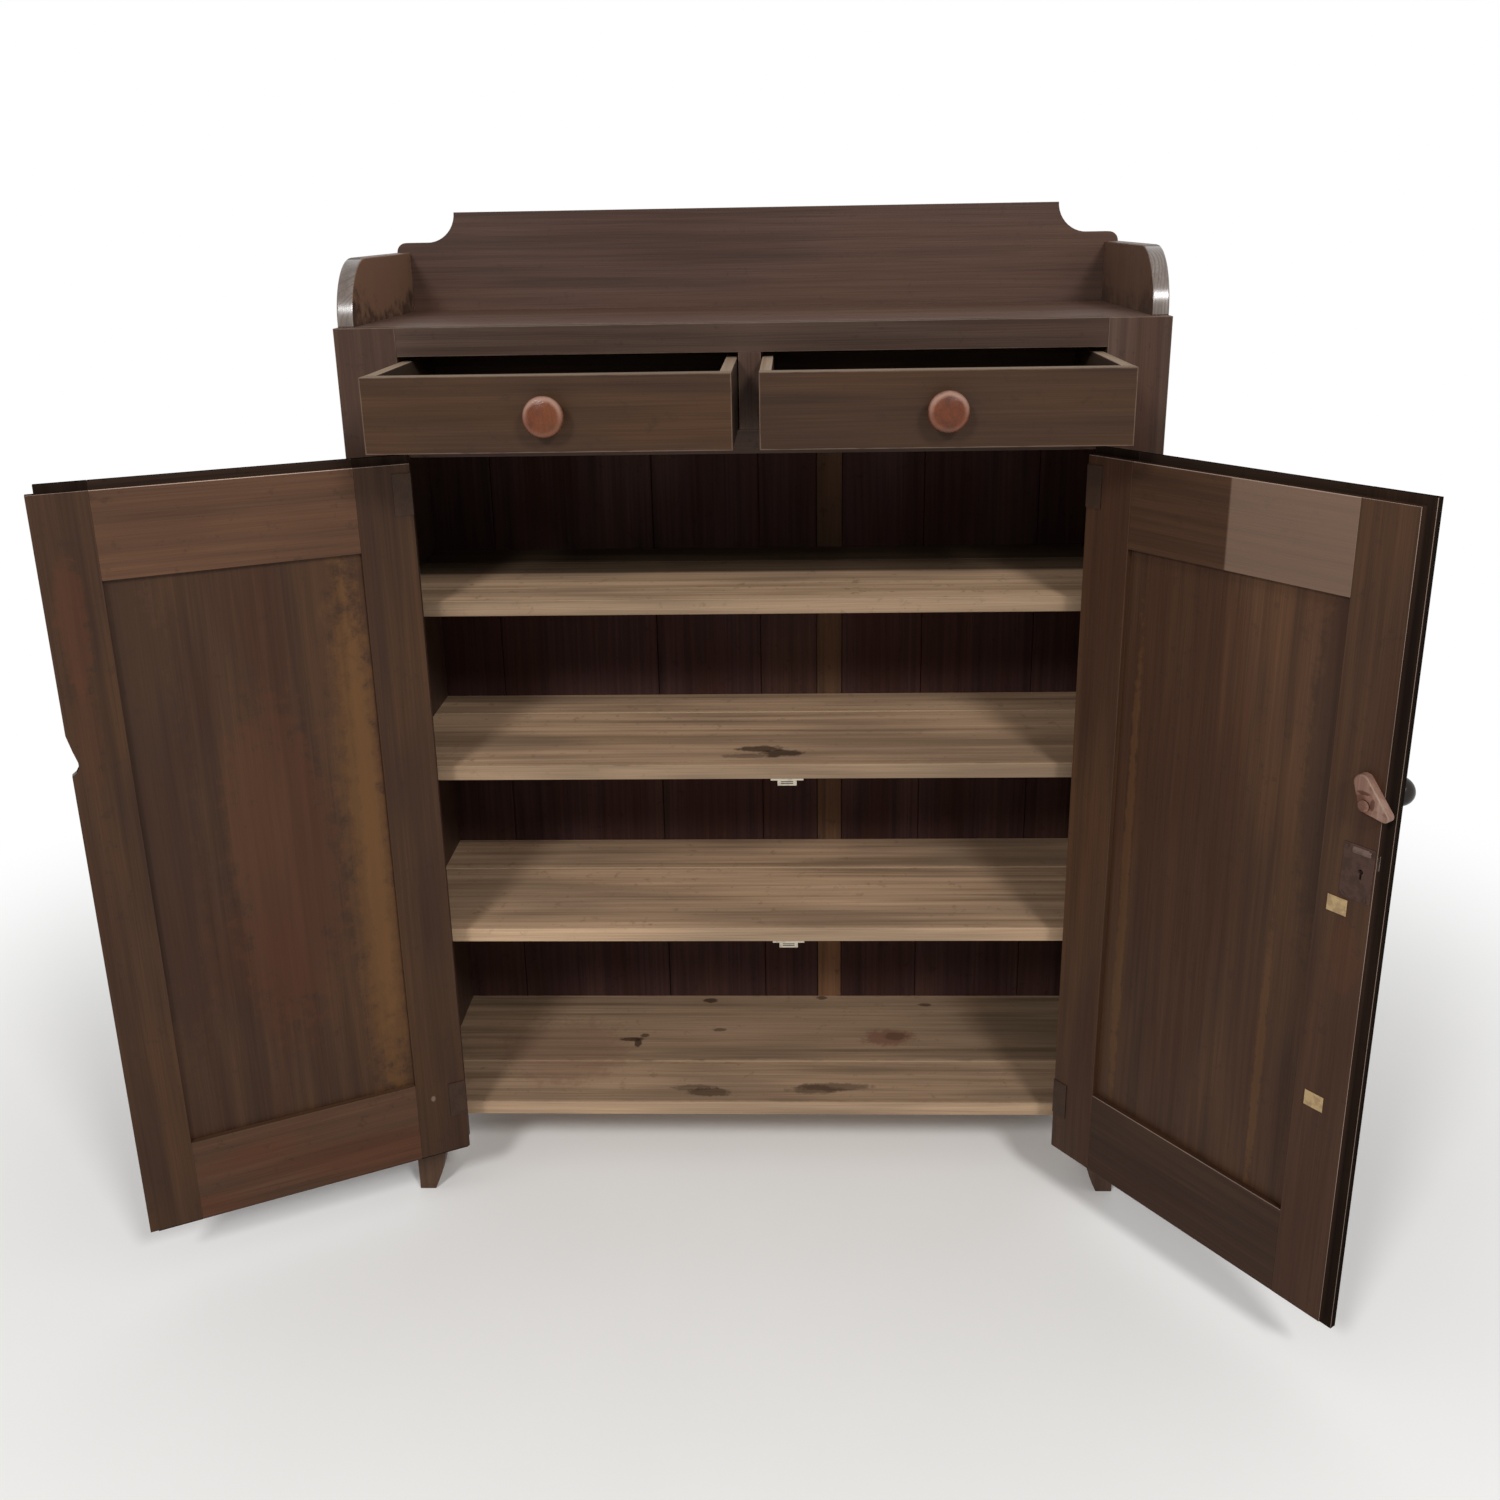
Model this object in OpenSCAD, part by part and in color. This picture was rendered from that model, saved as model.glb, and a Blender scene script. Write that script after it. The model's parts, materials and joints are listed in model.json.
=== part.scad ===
// Sideboard with two drawers over two panelled doors, four shelves and a gallery round its top.
// Millimetres, +Z up. The front faces -Y. Sizes are laid out round the middle of the face
// frame's front plane, at floor level. The doors stand open and the drawers are pulled out, and
// the origin is in the middle of the floor that the sideboard covers that way.

/* [Case] */
// Width over the two side boards
case_w = 1100; // [1040:1:1200]
// Height of the top board's upper face
top_z = 1346; // [1340:1:1400]
// Depth from the front of the face frame to the back boards
case_d = 350; // [340:1:400]
// Thickness of the side boards
side_t = 22; // [20:0.5:26]
// Thickness of the top board
top_t = 22; // [18:0.5:24]
// Thickness of the face frame
frame_t = 22; // [20:0.5:26]
// Width of each stile of the face frame
stile_w = 82; // [76:1:92]
// Height of the top rail
top_rail_h = 38; // [32:1:42]
// Height of the opening for the drawers
drawer_open_h = 101.5; // [98:0.5:112]
// Height of the rail between the drawers and the doors
middle_rail_h = 24; // [22:1:30]
// Width of the upright between the drawers
divider_w = 30; // [26:1:40]
// Depth of the housings that the shelves and the top board sit in
housing = 8; // [5:1:11]
// Thickness of the tongue on each end of the top board
top_tongue_t = 12; // [8:1:16]
// Length of the tenons on the rails of the face frame
frame_tenon = 24; // [12:1:40]
// Thickness of those tenons
frame_tenon_t = 8; // [6:1:10]

/* [Gallery] */
// Height of the ears over the top board
ear_h = 87; // [86:1:110]
// Radius of the rounded front of each ear
ear_r = 86; // [50:1:86]
// Height of the backsplash over the top board
back_h = 144.5; // [125:0.5:170]
// Height of its shoulders over the top board
shoulder_h = 101; // [92:0.5:115]
// Length of each shoulder with its hollow, from the raised part to the end
shoulder_run = 91; // [80:1:120]
// Radius of the outer corner of each shoulder
shoulder_r = 14; // [8:1:16]
// How far it hangs down below the top board's upper face
back_drop = 46; // [30:1:60]
// Thickness of the backsplash
splash_t = 18; // [14:0.5:22]
// How far its ends stop short of the side boards' outer faces
splash_inset = 2; // [0:0.5:5]

/* [Feet] */
// Height of the shoulder over each front foot
foot_h = 88; // [70:1:89]
// Width of a front foot on the floor
foot_w = 25; // [20:1:35]
// Width of a front foot at its shoulder
foot_top_w = 49; // [40:1:60]
// How far the foot's inner edge bulges
foot_bulge = 4; // [1:0.5:8]
// Height of the arch sawn out of each side board
arch_h = 78; // [50:1:100]
// Radius of the arch's corners
arch_r = 60; // [30:1:75]
// Length of the foot left in front of the arch and behind it
arch_foot = 60; // [45:1:80]

/* [Shelves] */
// Thickness of the shelf boards
shelf_t = 22; // [18:0.5:25]
// How far the shelves' front edges lie behind the face frame
shelf_back = 2; // [2:0.5:6]
// Upper face of the bottom shelf
bottom_z = 145; // [130:1:160]
// Upper face of the lower shelf
lower_z = 451; // [420:1:470]
// Upper face of the middle shelf
middle_z = 716; // [700:1:740]
// Upper face of the upper shelf
upper_z = 966; // [940:1:990]
// Width of the bottom shelf's front board
bottom_front_w = 116; // [90:1:160]
// Width of the lower shelf's front board
lower_front_w = 212; // [180:1:240]
// Width of the middle shelf's front board
middle_front_w = 234; // [180:1:260]
// Width of the upper shelf's front board
upper_front_w = 232; // [180:1:260]
// Open seam between two boards
seam = 0.8; // [0.4:0.1:2]

/* [Back boards] */
// Thickness of the back boards
back_t = 12; // [9:0.5:16]
// How far each back board laps behind the next
back_lap = 8; // [5:1:14]
// Height of their lower ends over the floor
back_bottom_z = 100; // [80:1:120]
// Width of the narrow filler strip
filler_w = 41; // [20:1:60]

/* [Doors] */
// Thickness of the doors
door_t = 22; // [20:0.5:24]
// Lower edge of the doors over the floor
door_bottom = 91; // [90:1:100]
// Width of the lip round the doors' outer layer
lip = 10; // [6:1:12]
// Thickness of that lip
lip_t = 10; // [8:0.5:11]
// Running gap between door and face frame
door_gap = 1.5; // [1:0.1:2.5]
// Gap between the two doors
meeting_gap = 2; // [1.5:0.1:3]
// Width of the stile at the hinges
hinge_stile_w = 74; // [65:1:90]
// Width of the stile at the other edge
meeting_stile_w = 71; // [66:1:90]
// Height of a door's top rail, measured inside
door_top_rail = 115; // [90:1:130]
// Height of a door's bottom rail, measured inside
door_bottom_rail = 128; // [100:1:145]
// Thickness of the panels
panel_t = 8; // [6:0.5:9]
// Depth of a panel's face below the outer face of the frame round it
panel_sink = 5; // [4:0.5:6]
// Depth of the grooves that hold a panel
groove = 8; // [5:1:10]
// Expansion room of a panel in its groove
panel_play = 1; // [0.5:0.1:2]
// Length of the door tenons
door_tenon = 40; // [25:1:55]
// Shoulder outside each door tenon
tenon_shoulder = 20; // [12:1:30]
// Angle at which the left door stands open
left_open = 153.8; // [90:0.1:170]
// Angle at which the right door stands open
right_open = 127.3; // [90:0.1:170]
// Height of the worn hollow in the left door's edge, at its deepest
hollow_z = 821; // [810:1:830]
// Depth of that hollow
hollow_depth = 9.5; // [5:0.5:11]

/* [Drawers] */
// Length of a drawer, front to back
drawer_l = 330; // [300:1:335]
// Thickness of a drawer's front
front_t = 22; // [18:0.5:24]
// Thickness of a drawer's sides
drawer_side_t = 15; // [12:0.5:18]
// Thickness of a drawer's back
drawer_back_t = 13; // [10:0.5:16]
// Thickness of a drawer's bottom
drawer_bottom_t = 8; // [6:0.5:10]
// Gap over a drawer in its opening
drawer_top_gap = 7; // [4:0.5:12]
// Gap under a drawer's front in its opening
drawer_low_gap = 1.5; // [1:0.5:4]
// Gap at each side of a drawer
drawer_side_gap = 1.5; // [1:0.1:3]
// How far both drawers are pulled out
pull = 185; // [0:1:230]
// Height of the bottom over a drawer's lower edge
bottom_rise = 8; // [6:1:12]
// Depth of the grooves for the bottom
drawer_groove = 7; // [4:0.5:9]
// Length of the dovetails in a drawer's front
tail_l = 16; // [10:0.5:17]
// How far a drawer's back stops below the top of its sides
drawer_back_low = 6; // [0:1:15]

/* [Runners] */
// Height of the guides beside the drawers
guide_h = 20; // [12:1:30]
// How far a runner reaches in under a drawer's side
runner_reach = 17.5; // [15:0.5:30]
// Air between a drawer's sides and its runners
ride = 0.3; // [0.2:0.1:0.6]

/* [Knobs] */
// Diameter of a knob's head
knob_d = 50; // [40:1:56]
// Length of a knob in front of its board
knob_l = 32; // [28:1:42]
// Diameter of the dowel that holds a drawer knob
dowel_d = 12; // [9:0.5:15]

/* [Hinges] */
// Height of a hinge leaf
hinge_h = 57; // [45:1:70]
// Thickness of the leaves
leaf_t = 1.5; // [1:0.1:1.8]
// Width of the leaf on the face frame
frame_leaf_w = 20; // [14:1:20]
// Width of the part that wraps round onto a door's inner face
wrap_w = 25; // [18:1:35]
// Diameter of the hinge barrels
barrel_d = 7; // [6.4:0.1:8]
// Diameter of the hinge pins
pin_d = 4; // [3:0.1:4.6]
// Distance of the upper hinges from the top of a door's inner layer
hinge_top_end = 12.5; // [5:0.5:60]
// Height of the lower hinges over the bottom of a door's inner layer
hinge_low_end = 61; // [48:1:90]
// Diameter of the hinge screws' shanks
screw_d = 3; // [2.5:0.1:3.6]
// Length of the hinge screws
screw_l = 13; // [8:1:16]

/* [Latch, lock and catches] */
// Height of the turn latch's spindle
latch_z = 822.5; // [810:0.5:840]
// Distance of the spindle from the edge of the door's inner layer
latch_edge = 17; // [14:0.5:24]
// Diameter of the spindle
spindle_d = 14; // [10:0.5:16]
// Diameter of the latch's outside knob
latch_knob_d = 36; // [30:1:40]
// Length of that knob
latch_knob_l = 50; // [40:1:56]
// Thickness of the pointer
pointer_t = 12; // [9:0.5:16]
// Height of the pointer's upper end over the spindle
pointer_up = 26; // [20:1:30]
// Reach of the pointer's tip beyond the spindle
pointer_reach = 25; // [22:1:30]
// How far the pointer's tip lies below the spindle
pointer_drop = 7.5; // [2:0.5:12]
// Width of the lock case
lock_w = 40; // [34:1:44]
// Wood left between the lock case and the edge of the door
lock_inset = 2.5; // [1.5:0.5:4]
// Height of the lock case
lock_h = 70; // [56:1:72]
// Lower end of the lock case
lock_z = 697; // [685:1:705]
// Thickness of the lock case
lock_t = 10; // [8:0.5:10.5]
// How far the lock case stands proud of the door
lock_proud = 0.8; // [0:0.1:1.2]
// Travel of the lock bolt
bolt_throw = 7; // [4:0.5:8]
// Width of the strike plates
strike_w = 26; // [20:1:32]
// Height of the strike plates
strike_h = 21; // [16:1:26]
// Thickness of the strike plates
strike_t = 1; // [0.6:0.1:1.2]
// How far the middles of the strike plates lie below the lower and the middle shelf
strike_drop = [18.5, 11.5]; // [8:0.5:24]
// Distance of the catches from the middle of the case
catch_x = 44; // [40:1:60]
// Width of a catch's body
catch_w = 28; // [22:1:36]
// Height of a catch under its shelf
catch_h = 11; // [9:0.5:14]
// Depth of a catch
catch_d = 24; // [18:1:32]
// Width of a catch over its ears
catch_ears = 48; // [42:1:60]

/* [Hidden] */

// Cutting tools run past a face by this much
past = 1;
// Air round a shaft or a screw in its hole
running = 0.05;
// Air round a piece that is let in or slides
fit = 0.2;
round_fn = 64;

half_w = case_w / 2;
inside_x = half_w - side_t;
open_x = half_w - stile_w;
frame_shoulder = 5;
divider_stub = 10;
shelf_y = frame_t + shelf_back;
drawer_open_top = top_z - top_rail_h;
runner_z = drawer_open_top - drawer_open_h;
middle_rail_z = runner_z - middle_rail_h;
shelf_tops = [bottom_z, lower_z, middle_z, upper_z];

// Edges of the back boards from left to right; the filler strip lies between two of them
back_seams = half_w * [-0.782, -0.311, 0, 0.169, 0.482, 0.813];
back_left = [-half_w + splash_inset, back_seams[0], back_seams[1], back_seams[2], back_seams[3]];
back_right = [back_seams[3] + filler_w, back_seams[4], back_seams[5], half_w - splash_inset];

// The doors' outer layer meets the middle rail's front, and their inner layer its rebated back
door_top = middle_rail_z - door_gap;
inner_bottom = door_bottom + lip;
inner_top = door_top - lip;
door_edge_x = open_x - door_gap;
door_w = door_edge_x - meeting_gap / 2;
rebate_y = lip_t + 1;
lip_reach = lip + meeting_gap - door_gap;
panel_y = [panel_sink, panel_sink + panel_t];
sight_left = hinge_stile_w;
sight_right = door_w - meeting_stile_w;
sight_low = inner_bottom + door_bottom_rail;
sight_high = inner_top - door_top_rail;

barrel_r = barrel_d / 2;
pin_r = pin_d / 2;
pin_bore_r = pin_r + running;
hinge_x = open_x - door_gap / 2;
hinge_y = -barrel_r - fit;
knuckle = (hinge_h - 2 * fit) / 3;
hinge_zs = [inner_bottom + hinge_low_end, inner_top - hinge_top_end - hinge_h];
screw_zs = [hinge_h * 0.2, hinge_h * 0.8];
screw_head_r = screw_d;
screw_r = screw_d / 2;
screw_head_t = 0.8;
pin_head = 2;
wrap_screw_x = wrap_w * 0.6;

drawer_w = open_x - divider_w / 2 - 2 * drawer_side_gap;
drawer_x = divider_w / 2 + drawer_side_gap + drawer_w;
drawer_top = drawer_open_top - drawer_top_gap;
front_z = runner_z + drawer_low_gap;
side_z = runner_z + ride;
panel_z = side_z + bottom_rise;
back_z = panel_z + drawer_bottom_t;
back_top = drawer_top - drawer_back_low;
knob_z = (front_z + drawer_top) / 2;
knob_x = drawer_x - drawer_w / 2;
outer_side_x = [-drawer_x, -drawer_x + drawer_side_t];
inner_side_x = [-drawer_x + drawer_w - drawer_side_t, -drawer_x + drawer_w];
tail_pitch = 30;
inner_reach = divider_w / 2 + drawer_side_gap + runner_reach;
outer_reach = drawer_x - runner_reach;

latch_s = door_w - latch_edge;
spindle_r = spindle_d / 2;
pointer_y = door_t + 0.5;
pointer_hump_r = 10;
pointer_lean = 7;
pointer_hub_r = spindle_r + 2;
pointer_tip_r = 6;
pointer_steps = 10;
lock_s = [door_w - lock_inset - lock_w, door_w - lock_inset];
lock_y = [door_t + lock_proud - lock_t, door_t + lock_proud];
lock_zs = [lock_z, lock_z + lock_h];
bolt_l = 26;
bolt_h = 18;
bolt_rise = 44;
bolt_y = [lock_y[0] + 3, lock_y[0] + 7];
bolt_zs = [lock_z + bolt_rise, lock_z + bolt_rise + bolt_h];
keyhole_s = door_w - 18;
keyhole_z = lock_z + 38;
keyhole_r = 3.2;
keyhole_slot = 3;
keyhole_drop = 10;
strike_s = door_edge_x - catch_x;
catch_tops = [lower_z - shelf_t, middle_z - shelf_t];
strike_zs = catch_tops - strike_drop;
catch_ear_t = 3;
catch_set = 1;

// Turned outline of a knob, in shares of its radius and of its length in front of its seat,
// and the point of it that reaches furthest on the open door
KNOB = [[0.56, 0], [0.56, 0.05], [0.49, 0.09], [0.43, 0.14], [0.405, 0.2], [0.41, 0.26], [0.45, 0.33],
        [0.53, 0.4], [0.65, 0.47], [0.79, 0.53], [0.9, 0.59], [0.97, 0.66], [1, 0.74], [0.985, 0.81],
        [0.94, 0.87], [0.88, 0.905], [0.82, 0.915], [0.74, 0.93], [0.6, 0.96], [0.4, 0.985],
        [0.2, 1], [0, 1]];
knob_rim = KNOB[15];

// Reach of the open doors, from the middle of the case's front plane
reach_left = hinge_x - (hinge_x - meeting_gap / 2) * cos(left_open)
           - (rebate_y - hinge_y) * sin(left_open);
reach_right = hinge_x - (latch_s + (door_gap + knob_rim[0] * latch_knob_d) / 2) * cos(right_open)
            + (fit + knob_rim[1] * latch_knob_l + hinge_y) * sin(right_open);
reach_front = (latch_s + door_gap / 2 + pointer_reach + pointer_tip_r) * sin(right_open)
            - (pointer_y + pointer_t - hinge_y) * cos(right_open) - hinge_y;
plan_x = (reach_right - reach_left) / 2;
plan_y = (case_d + splash_t - reach_front) / 2;

// Finishes
stain = [0.27, 0.20, 0.16];
stain_red = [0.32, 0.22, 0.18];
bare = [0.52, 0.43, 0.33];
back_dark = [0.17, 0.12, 0.11];
knob_red = [0.48, 0.29, 0.20];
iron = [0.13, 0.11, 0.10];
brass = [0.74, 0.66, 0.44];
off_white = [0.86, 0.85, 0.80];

// Places a piece that was laid out round the middle of the case's front plane
module place() {
    translate([-plan_x, -plan_y, 0]) children();
}

module box(x, y, z) {
    translate([x[0], y[0], z[0]]) cube([x[1] - x[0], y[1] - y[0], z[1] - z[0]]);
}

module both_sides() {
    children();
    mirror([1, 0, 0]) children();
}

// An outline drawn in Y and Z, as thick as x says
module across(x) {
    translate([x[0], 0, 0]) rotate([90, 0, 90]) linear_extrude(x[1] - x[0]) children();
}

// An outline drawn in X and Z, as thick as y says
module along(y) {
    translate([0, y[1], 0]) rotate([90, 0, 0]) linear_extrude(y[1] - y[0]) children();
}

// A door is laid out closed, from its hinge edge, and then swung open
module in_left_door() {
    place() translate([-hinge_x, hinge_y, 0]) rotate([0, 0, -left_open])
        translate([hinge_x - door_edge_x, -hinge_y, 0]) children();
}

module in_right_door() {
    place() translate([hinge_x, hinge_y, 0]) rotate([0, 0, right_open]) mirror([1, 0, 0])
        translate([hinge_x - door_edge_x, -hinge_y, 0]) children();
}

// The drawers are laid out closed and on the left, and then pulled out
module in_left_drawer() {
    place() translate([0, -pull, 0]) children();
}

module in_right_drawer() {
    in_left_drawer() mirror([1, 0, 0]) children();
}

// Side boards, which run up as the ears of the gallery and down as the feet
module side_outline() {
    arch_low = frame_t + arch_foot;
    arch_high = case_d - arch_foot;
    difference() {
        union() {
            translate([frame_t, 0]) square([case_d - frame_t, top_z]);
            translate([frame_t, top_z - past]) square([ear_r + past, ear_h - ear_r + past]);
            translate([frame_t + ear_r, top_z + ear_h - ear_r]) circle(r = ear_r, $fn = 96);
            translate([frame_t + ear_r, top_z - past]) square([case_d - frame_t - ear_r, ear_h + past]);
        }
        translate([arch_low + arch_r, arch_h - arch_r]) circle(r = arch_r, $fn = round_fn);
        translate([arch_high - arch_r, arch_h - arch_r]) circle(r = arch_r, $fn = round_fn);
        translate([arch_low + arch_r, -past]) square([arch_high - arch_low - 2 * arch_r, arch_h + past]);
        translate([arch_low, -past]) square([arch_high - arch_low, arch_h - arch_r + past]);
    }
}

module side_board() {
    difference() {
        across([-half_w, -inside_x]) side_outline();
        for (z = shelf_tops)
            box([-inside_x - housing, -inside_x + past], [shelf_y, case_d + past], [z - shelf_t, z]);
        box([-inside_x - housing, -inside_x + past], [frame_t - past, case_d + past],
            [top_z - top_t, top_z - top_t + top_tongue_t]);
    }
}

module side_left() {
    place() color(stain) side_board();
}

module side_right() {
    place() color(stain) mirror([1, 0, 0]) side_board();
}

// Face frame
module frame_stile_outline() {
    chord = norm([foot_top_w - foot_w, foot_h]);
    bulge_r = (chord * chord / 4 + foot_bulge * foot_bulge) / (2 * foot_bulge);
    lean = [foot_h, foot_w - foot_top_w] / chord;
    middle = [(foot_w + foot_top_w) / 2, foot_h / 2] - lean * (bulge_r - foot_bulge);
    difference() {
        square([stile_w, top_z]);
        difference() {
            translate([foot_w - past, -past]) square([stile_w - foot_w + 2 * past, foot_h + past]);
            translate(middle) circle(r = bulge_r, $fn = 256);
        }
    }
}

// Tenons of the face frame, which also cut their mortises
frame_tenon_y = [(frame_t - frame_tenon_t) / 2, (frame_t + frame_tenon_t) / 2];

module rail_tenon(z, grow) {
    box([-open_x - frame_tenon - grow, -open_x + grow], frame_tenon_y,
        [z[0] + frame_shoulder, z[1] - frame_shoulder]);
}

module divider_tenon(z) {
    box([-divider_w / 4, divider_w / 4], frame_tenon_y, z);
}

module frame_stile() {
    difference() {
        translate([-half_w, 0, 0]) along([0, frame_t]) frame_stile_outline();
        rail_tenon([drawer_open_top, top_z], fit);
        rail_tenon([middle_rail_z, runner_z], fit);
        for (z = hinge_zs) {
            box([-open_x - leaf_t, -open_x + past], [-past, frame_leaf_w], [z, z + hinge_h]);
            for (s = screw_zs)
                translate([-open_x, frame_leaf_w / 2, z + s]) rotate([0, -90, 0])
                    cylinder(r = screw_r + running, h = screw_l + fit, $fn = 24);
        }
    }
}

module stile_left() {
    place() color(stain) frame_stile();
}

module stile_right() {
    place() color(stain) mirror([1, 0, 0]) frame_stile();
}

module top_rail() {
    place() color(stain) difference() {
        union() {
            box([-open_x, open_x], [0, frame_t], [drawer_open_top, top_z]);
            both_sides() rail_tenon([drawer_open_top, top_z], 0);
        }
        divider_tenon([drawer_open_top - past, drawer_open_top + divider_stub + fit]);
    }
}

module drawer_divider() {
    place() color(stain) {
        box([-divider_w / 2, divider_w / 2], [0, frame_t], [runner_z, drawer_open_top]);
        divider_tenon([runner_z - divider_stub, drawer_open_top + divider_stub]);
    }
}

// The back of the middle rail hangs lower, as the stop that the doors' lips close against
module middle_rail() {
    place() color(stain) difference() {
        union() {
            box([-open_x, open_x], [0, frame_t], [middle_rail_z, runner_z]);
            box([-open_x, open_x], [rebate_y, frame_t], [middle_rail_z - lip, runner_z]);
            both_sides() rail_tenon([middle_rail_z, runner_z], 0);
        }
        divider_tenon([runner_z - divider_stub - fit, runner_z + past]);
    }
}

// Top board and the gallery's backsplash
module top_board() {
    place() color(stain) {
        box([-inside_x, inside_x], [frame_t, case_d], [top_z - top_t, top_z]);
        box([-inside_x - housing, inside_x + housing], [frame_t, case_d],
            [top_z - top_t, top_z - top_t + top_tongue_t]);
    }
}

module backsplash() {
    end_x = half_w - splash_inset;
    cove_r = back_h - shoulder_h;
    raised_x = end_x - shoulder_run;
    place() color(stain_red) translate([0, 0, top_z]) along([case_d, case_d + splash_t]) difference() {
        union() {
            translate([-end_x, -back_drop]) square([2 * end_x, back_drop + shoulder_h]);
            translate([-raised_x - cove_r, shoulder_h - past])
                square([2 * (raised_x + cove_r), cove_r + past]);
        }
        both_sides() {
            translate([raised_x + cove_r, back_h]) circle(r = cove_r, $fn = 96);
            translate([end_x - shoulder_r, shoulder_h - shoulder_r]) difference() {
                square(shoulder_r + past);
                circle(r = shoulder_r, $fn = 48);
            }
        }
    }
}

// Back boards, nailed upright behind the shelves. The rear half of each reaches further to one side
// than its front half, so that the boards lap and no light falls through their seams
module back_board(left, right, lap_left, lap_right) {
    x = [left + seam / 2, right - seam / 2];
    rear_x = x + [lap_left, lap_right];
    z = [back_bottom_z, top_z - back_drop];
    box([max(x[0], rear_x[0]), min(x[1], rear_x[1])], [case_d, case_d + back_t], z);
    box(x, [case_d, case_d + back_t / 2], z);
    box(rear_x, [case_d + back_t / 2 + fit, case_d + back_t], z);
}

module back_boards() {
    place() color(back_dark) {
        for (i = [0 : len(back_left) - 2])
            back_board(back_left[i], back_left[i + 1], i > 0 ? back_lap : 0, back_lap);
        for (i = [0 : len(back_right) - 2])
            back_board(back_right[i], back_right[i + 1],
                i > 0 ? back_lap : -back_lap, i < len(back_right) - 2 ? back_lap : 0);
    }
}

module back_filler_strip() {
    place() color([0.30, 0.25, 0.18])
        back_board(back_left[len(back_left) - 1], back_right[0], back_lap, -back_lap);
}

// Shelves, each of two boards
module shelf_board(z, y) {
    place() color(bare) box([-inside_x - housing + fit, inside_x + housing - fit], y, [z - shelf_t, z]);
}

module shelf_front(z, w) {
    shelf_board(z, [shelf_y, shelf_y + w - seam / 2]);
}

module shelf_rear(z, w) {
    shelf_board(z, [shelf_y + w + seam / 2, case_d]);
}

module bottom_shelf_front() {
    shelf_front(bottom_z, bottom_front_w);
}

module bottom_shelf_rear() {
    shelf_rear(bottom_z, bottom_front_w);
}

module lower_shelf_front() {
    shelf_front(lower_z, lower_front_w);
}

module lower_shelf_rear() {
    shelf_rear(lower_z, lower_front_w);
}

module middle_shelf_front() {
    shelf_front(middle_z, middle_front_w);
}

module middle_shelf_rear() {
    shelf_rear(middle_z, middle_front_w);
}

module upper_shelf_front() {
    shelf_front(upper_z, upper_front_w);
}

module upper_shelf_rear() {
    shelf_rear(upper_z, upper_front_w);
}

// Runners carry the drawers' sides, their guides keep the drawers straight, and the kickers
// over them stop a drawer from tipping
module side_runner() {
    box([-inside_x, -outer_reach], [frame_t, case_d], [middle_rail_z, runner_z]);
    box([-inside_x, -open_x], [frame_t, case_d], [middle_rail_z, runner_z + guide_h]);
}

module runner_left() {
    place() color(bare) side_runner();
}

module runner_right() {
    place() color(bare) mirror([1, 0, 0]) side_runner();
}

module runner_centre() {
    place() color(bare) {
        box([-inner_reach, inner_reach], [frame_t, case_d], [middle_rail_z, runner_z]);
        box([-divider_w / 2, divider_w / 2], [frame_t, case_d], [middle_rail_z, runner_z + guide_h]);
    }
}

module drawer_kickers() {
    kicker_z = [drawer_open_top, top_z - top_t];
    place() color(bare) {
        both_sides() box([outer_reach, inside_x], [frame_t, case_d], kicker_z);
        box([-inner_reach, inner_reach], [frame_t, case_d], kicker_z);
    }
}

// Drawers. A row of dovetails from a base line at y[0] to their ends at y[1]
module tail_row(y, z) {
    count = max(1, floor((z[1] - z[0]) / tail_pitch));
    pitch = (z[1] - z[0]) / count;
    flare = abs(y[1] - y[0]) / 6;
    half_tail = pitch * 0.28;
    root = y[0] + sign(y[0] - y[1]) * past;
    for (i = [0 : count - 1])
        translate([0, z[0] + (i + 0.5) * pitch])
            polygon([[root, -half_tail], [y[1], -half_tail - flare],
                     [y[1], half_tail + flare], [root, half_tail]]);
}

module front_tails() {
    tail_row([front_t, front_t - tail_l], [front_z, drawer_top]);
}

module back_tails() {
    tail_row([drawer_l - drawer_back_t, drawer_l], [back_z, back_top]);
}

module drawer_front() {
    difference() {
        box([-drawer_x, -drawer_x + drawer_w], [0, front_t], [front_z, drawer_top]);
        across(outer_side_x - [past, 0]) front_tails();
        across(inner_side_x + [0, past]) front_tails();
        box([outer_side_x[1] - drawer_groove, inner_side_x[0] + drawer_groove],
            [front_t - drawer_groove, front_t + past], [panel_z, panel_z + drawer_bottom_t]);
        translate([-knob_x, -past, knob_z]) rotate([-90, 0, 0])
            cylinder(r = dowel_d / 2 + running, h = front_t + 2 * past, $fn = round_fn);
    }
}

// One side, with its groove for the bottom on the face that looks into the drawer
module drawer_side(x, groove_x) {
    difference() {
        union() {
            difference() {
                box(x, [front_t, drawer_l], [side_z, drawer_top]);
                box(x + [-past, past], [drawer_l - drawer_back_t, drawer_l + past], [back_z, back_top]);
            }
            across(x) front_tails();
            across(x) back_tails();
        }
        box(groove_x, [0, drawer_l + past], [panel_z, panel_z + drawer_bottom_t]);
    }
}

module drawer_outer_side() {
    drawer_side(outer_side_x, [outer_side_x[1] - drawer_groove, outer_side_x[1] + past]);
}

module drawer_inner_side() {
    drawer_side(inner_side_x, [inner_side_x[0] - past, inner_side_x[0] + drawer_groove]);
}

module drawer_back() {
    difference() {
        box([-drawer_x, -drawer_x + drawer_w], [drawer_l - drawer_back_t, drawer_l], [back_z, back_top]);
        across(outer_side_x - [past, 0]) back_tails();
        across(inner_side_x + [0, past]) back_tails();
    }
}

module drawer_bottom() {
    hold = drawer_groove - fit;
    box([outer_side_x[1] - hold, inner_side_x[0] + hold],
        [front_t - hold, drawer_l], [panel_z, panel_z + drawer_bottom_t]);
}

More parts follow.
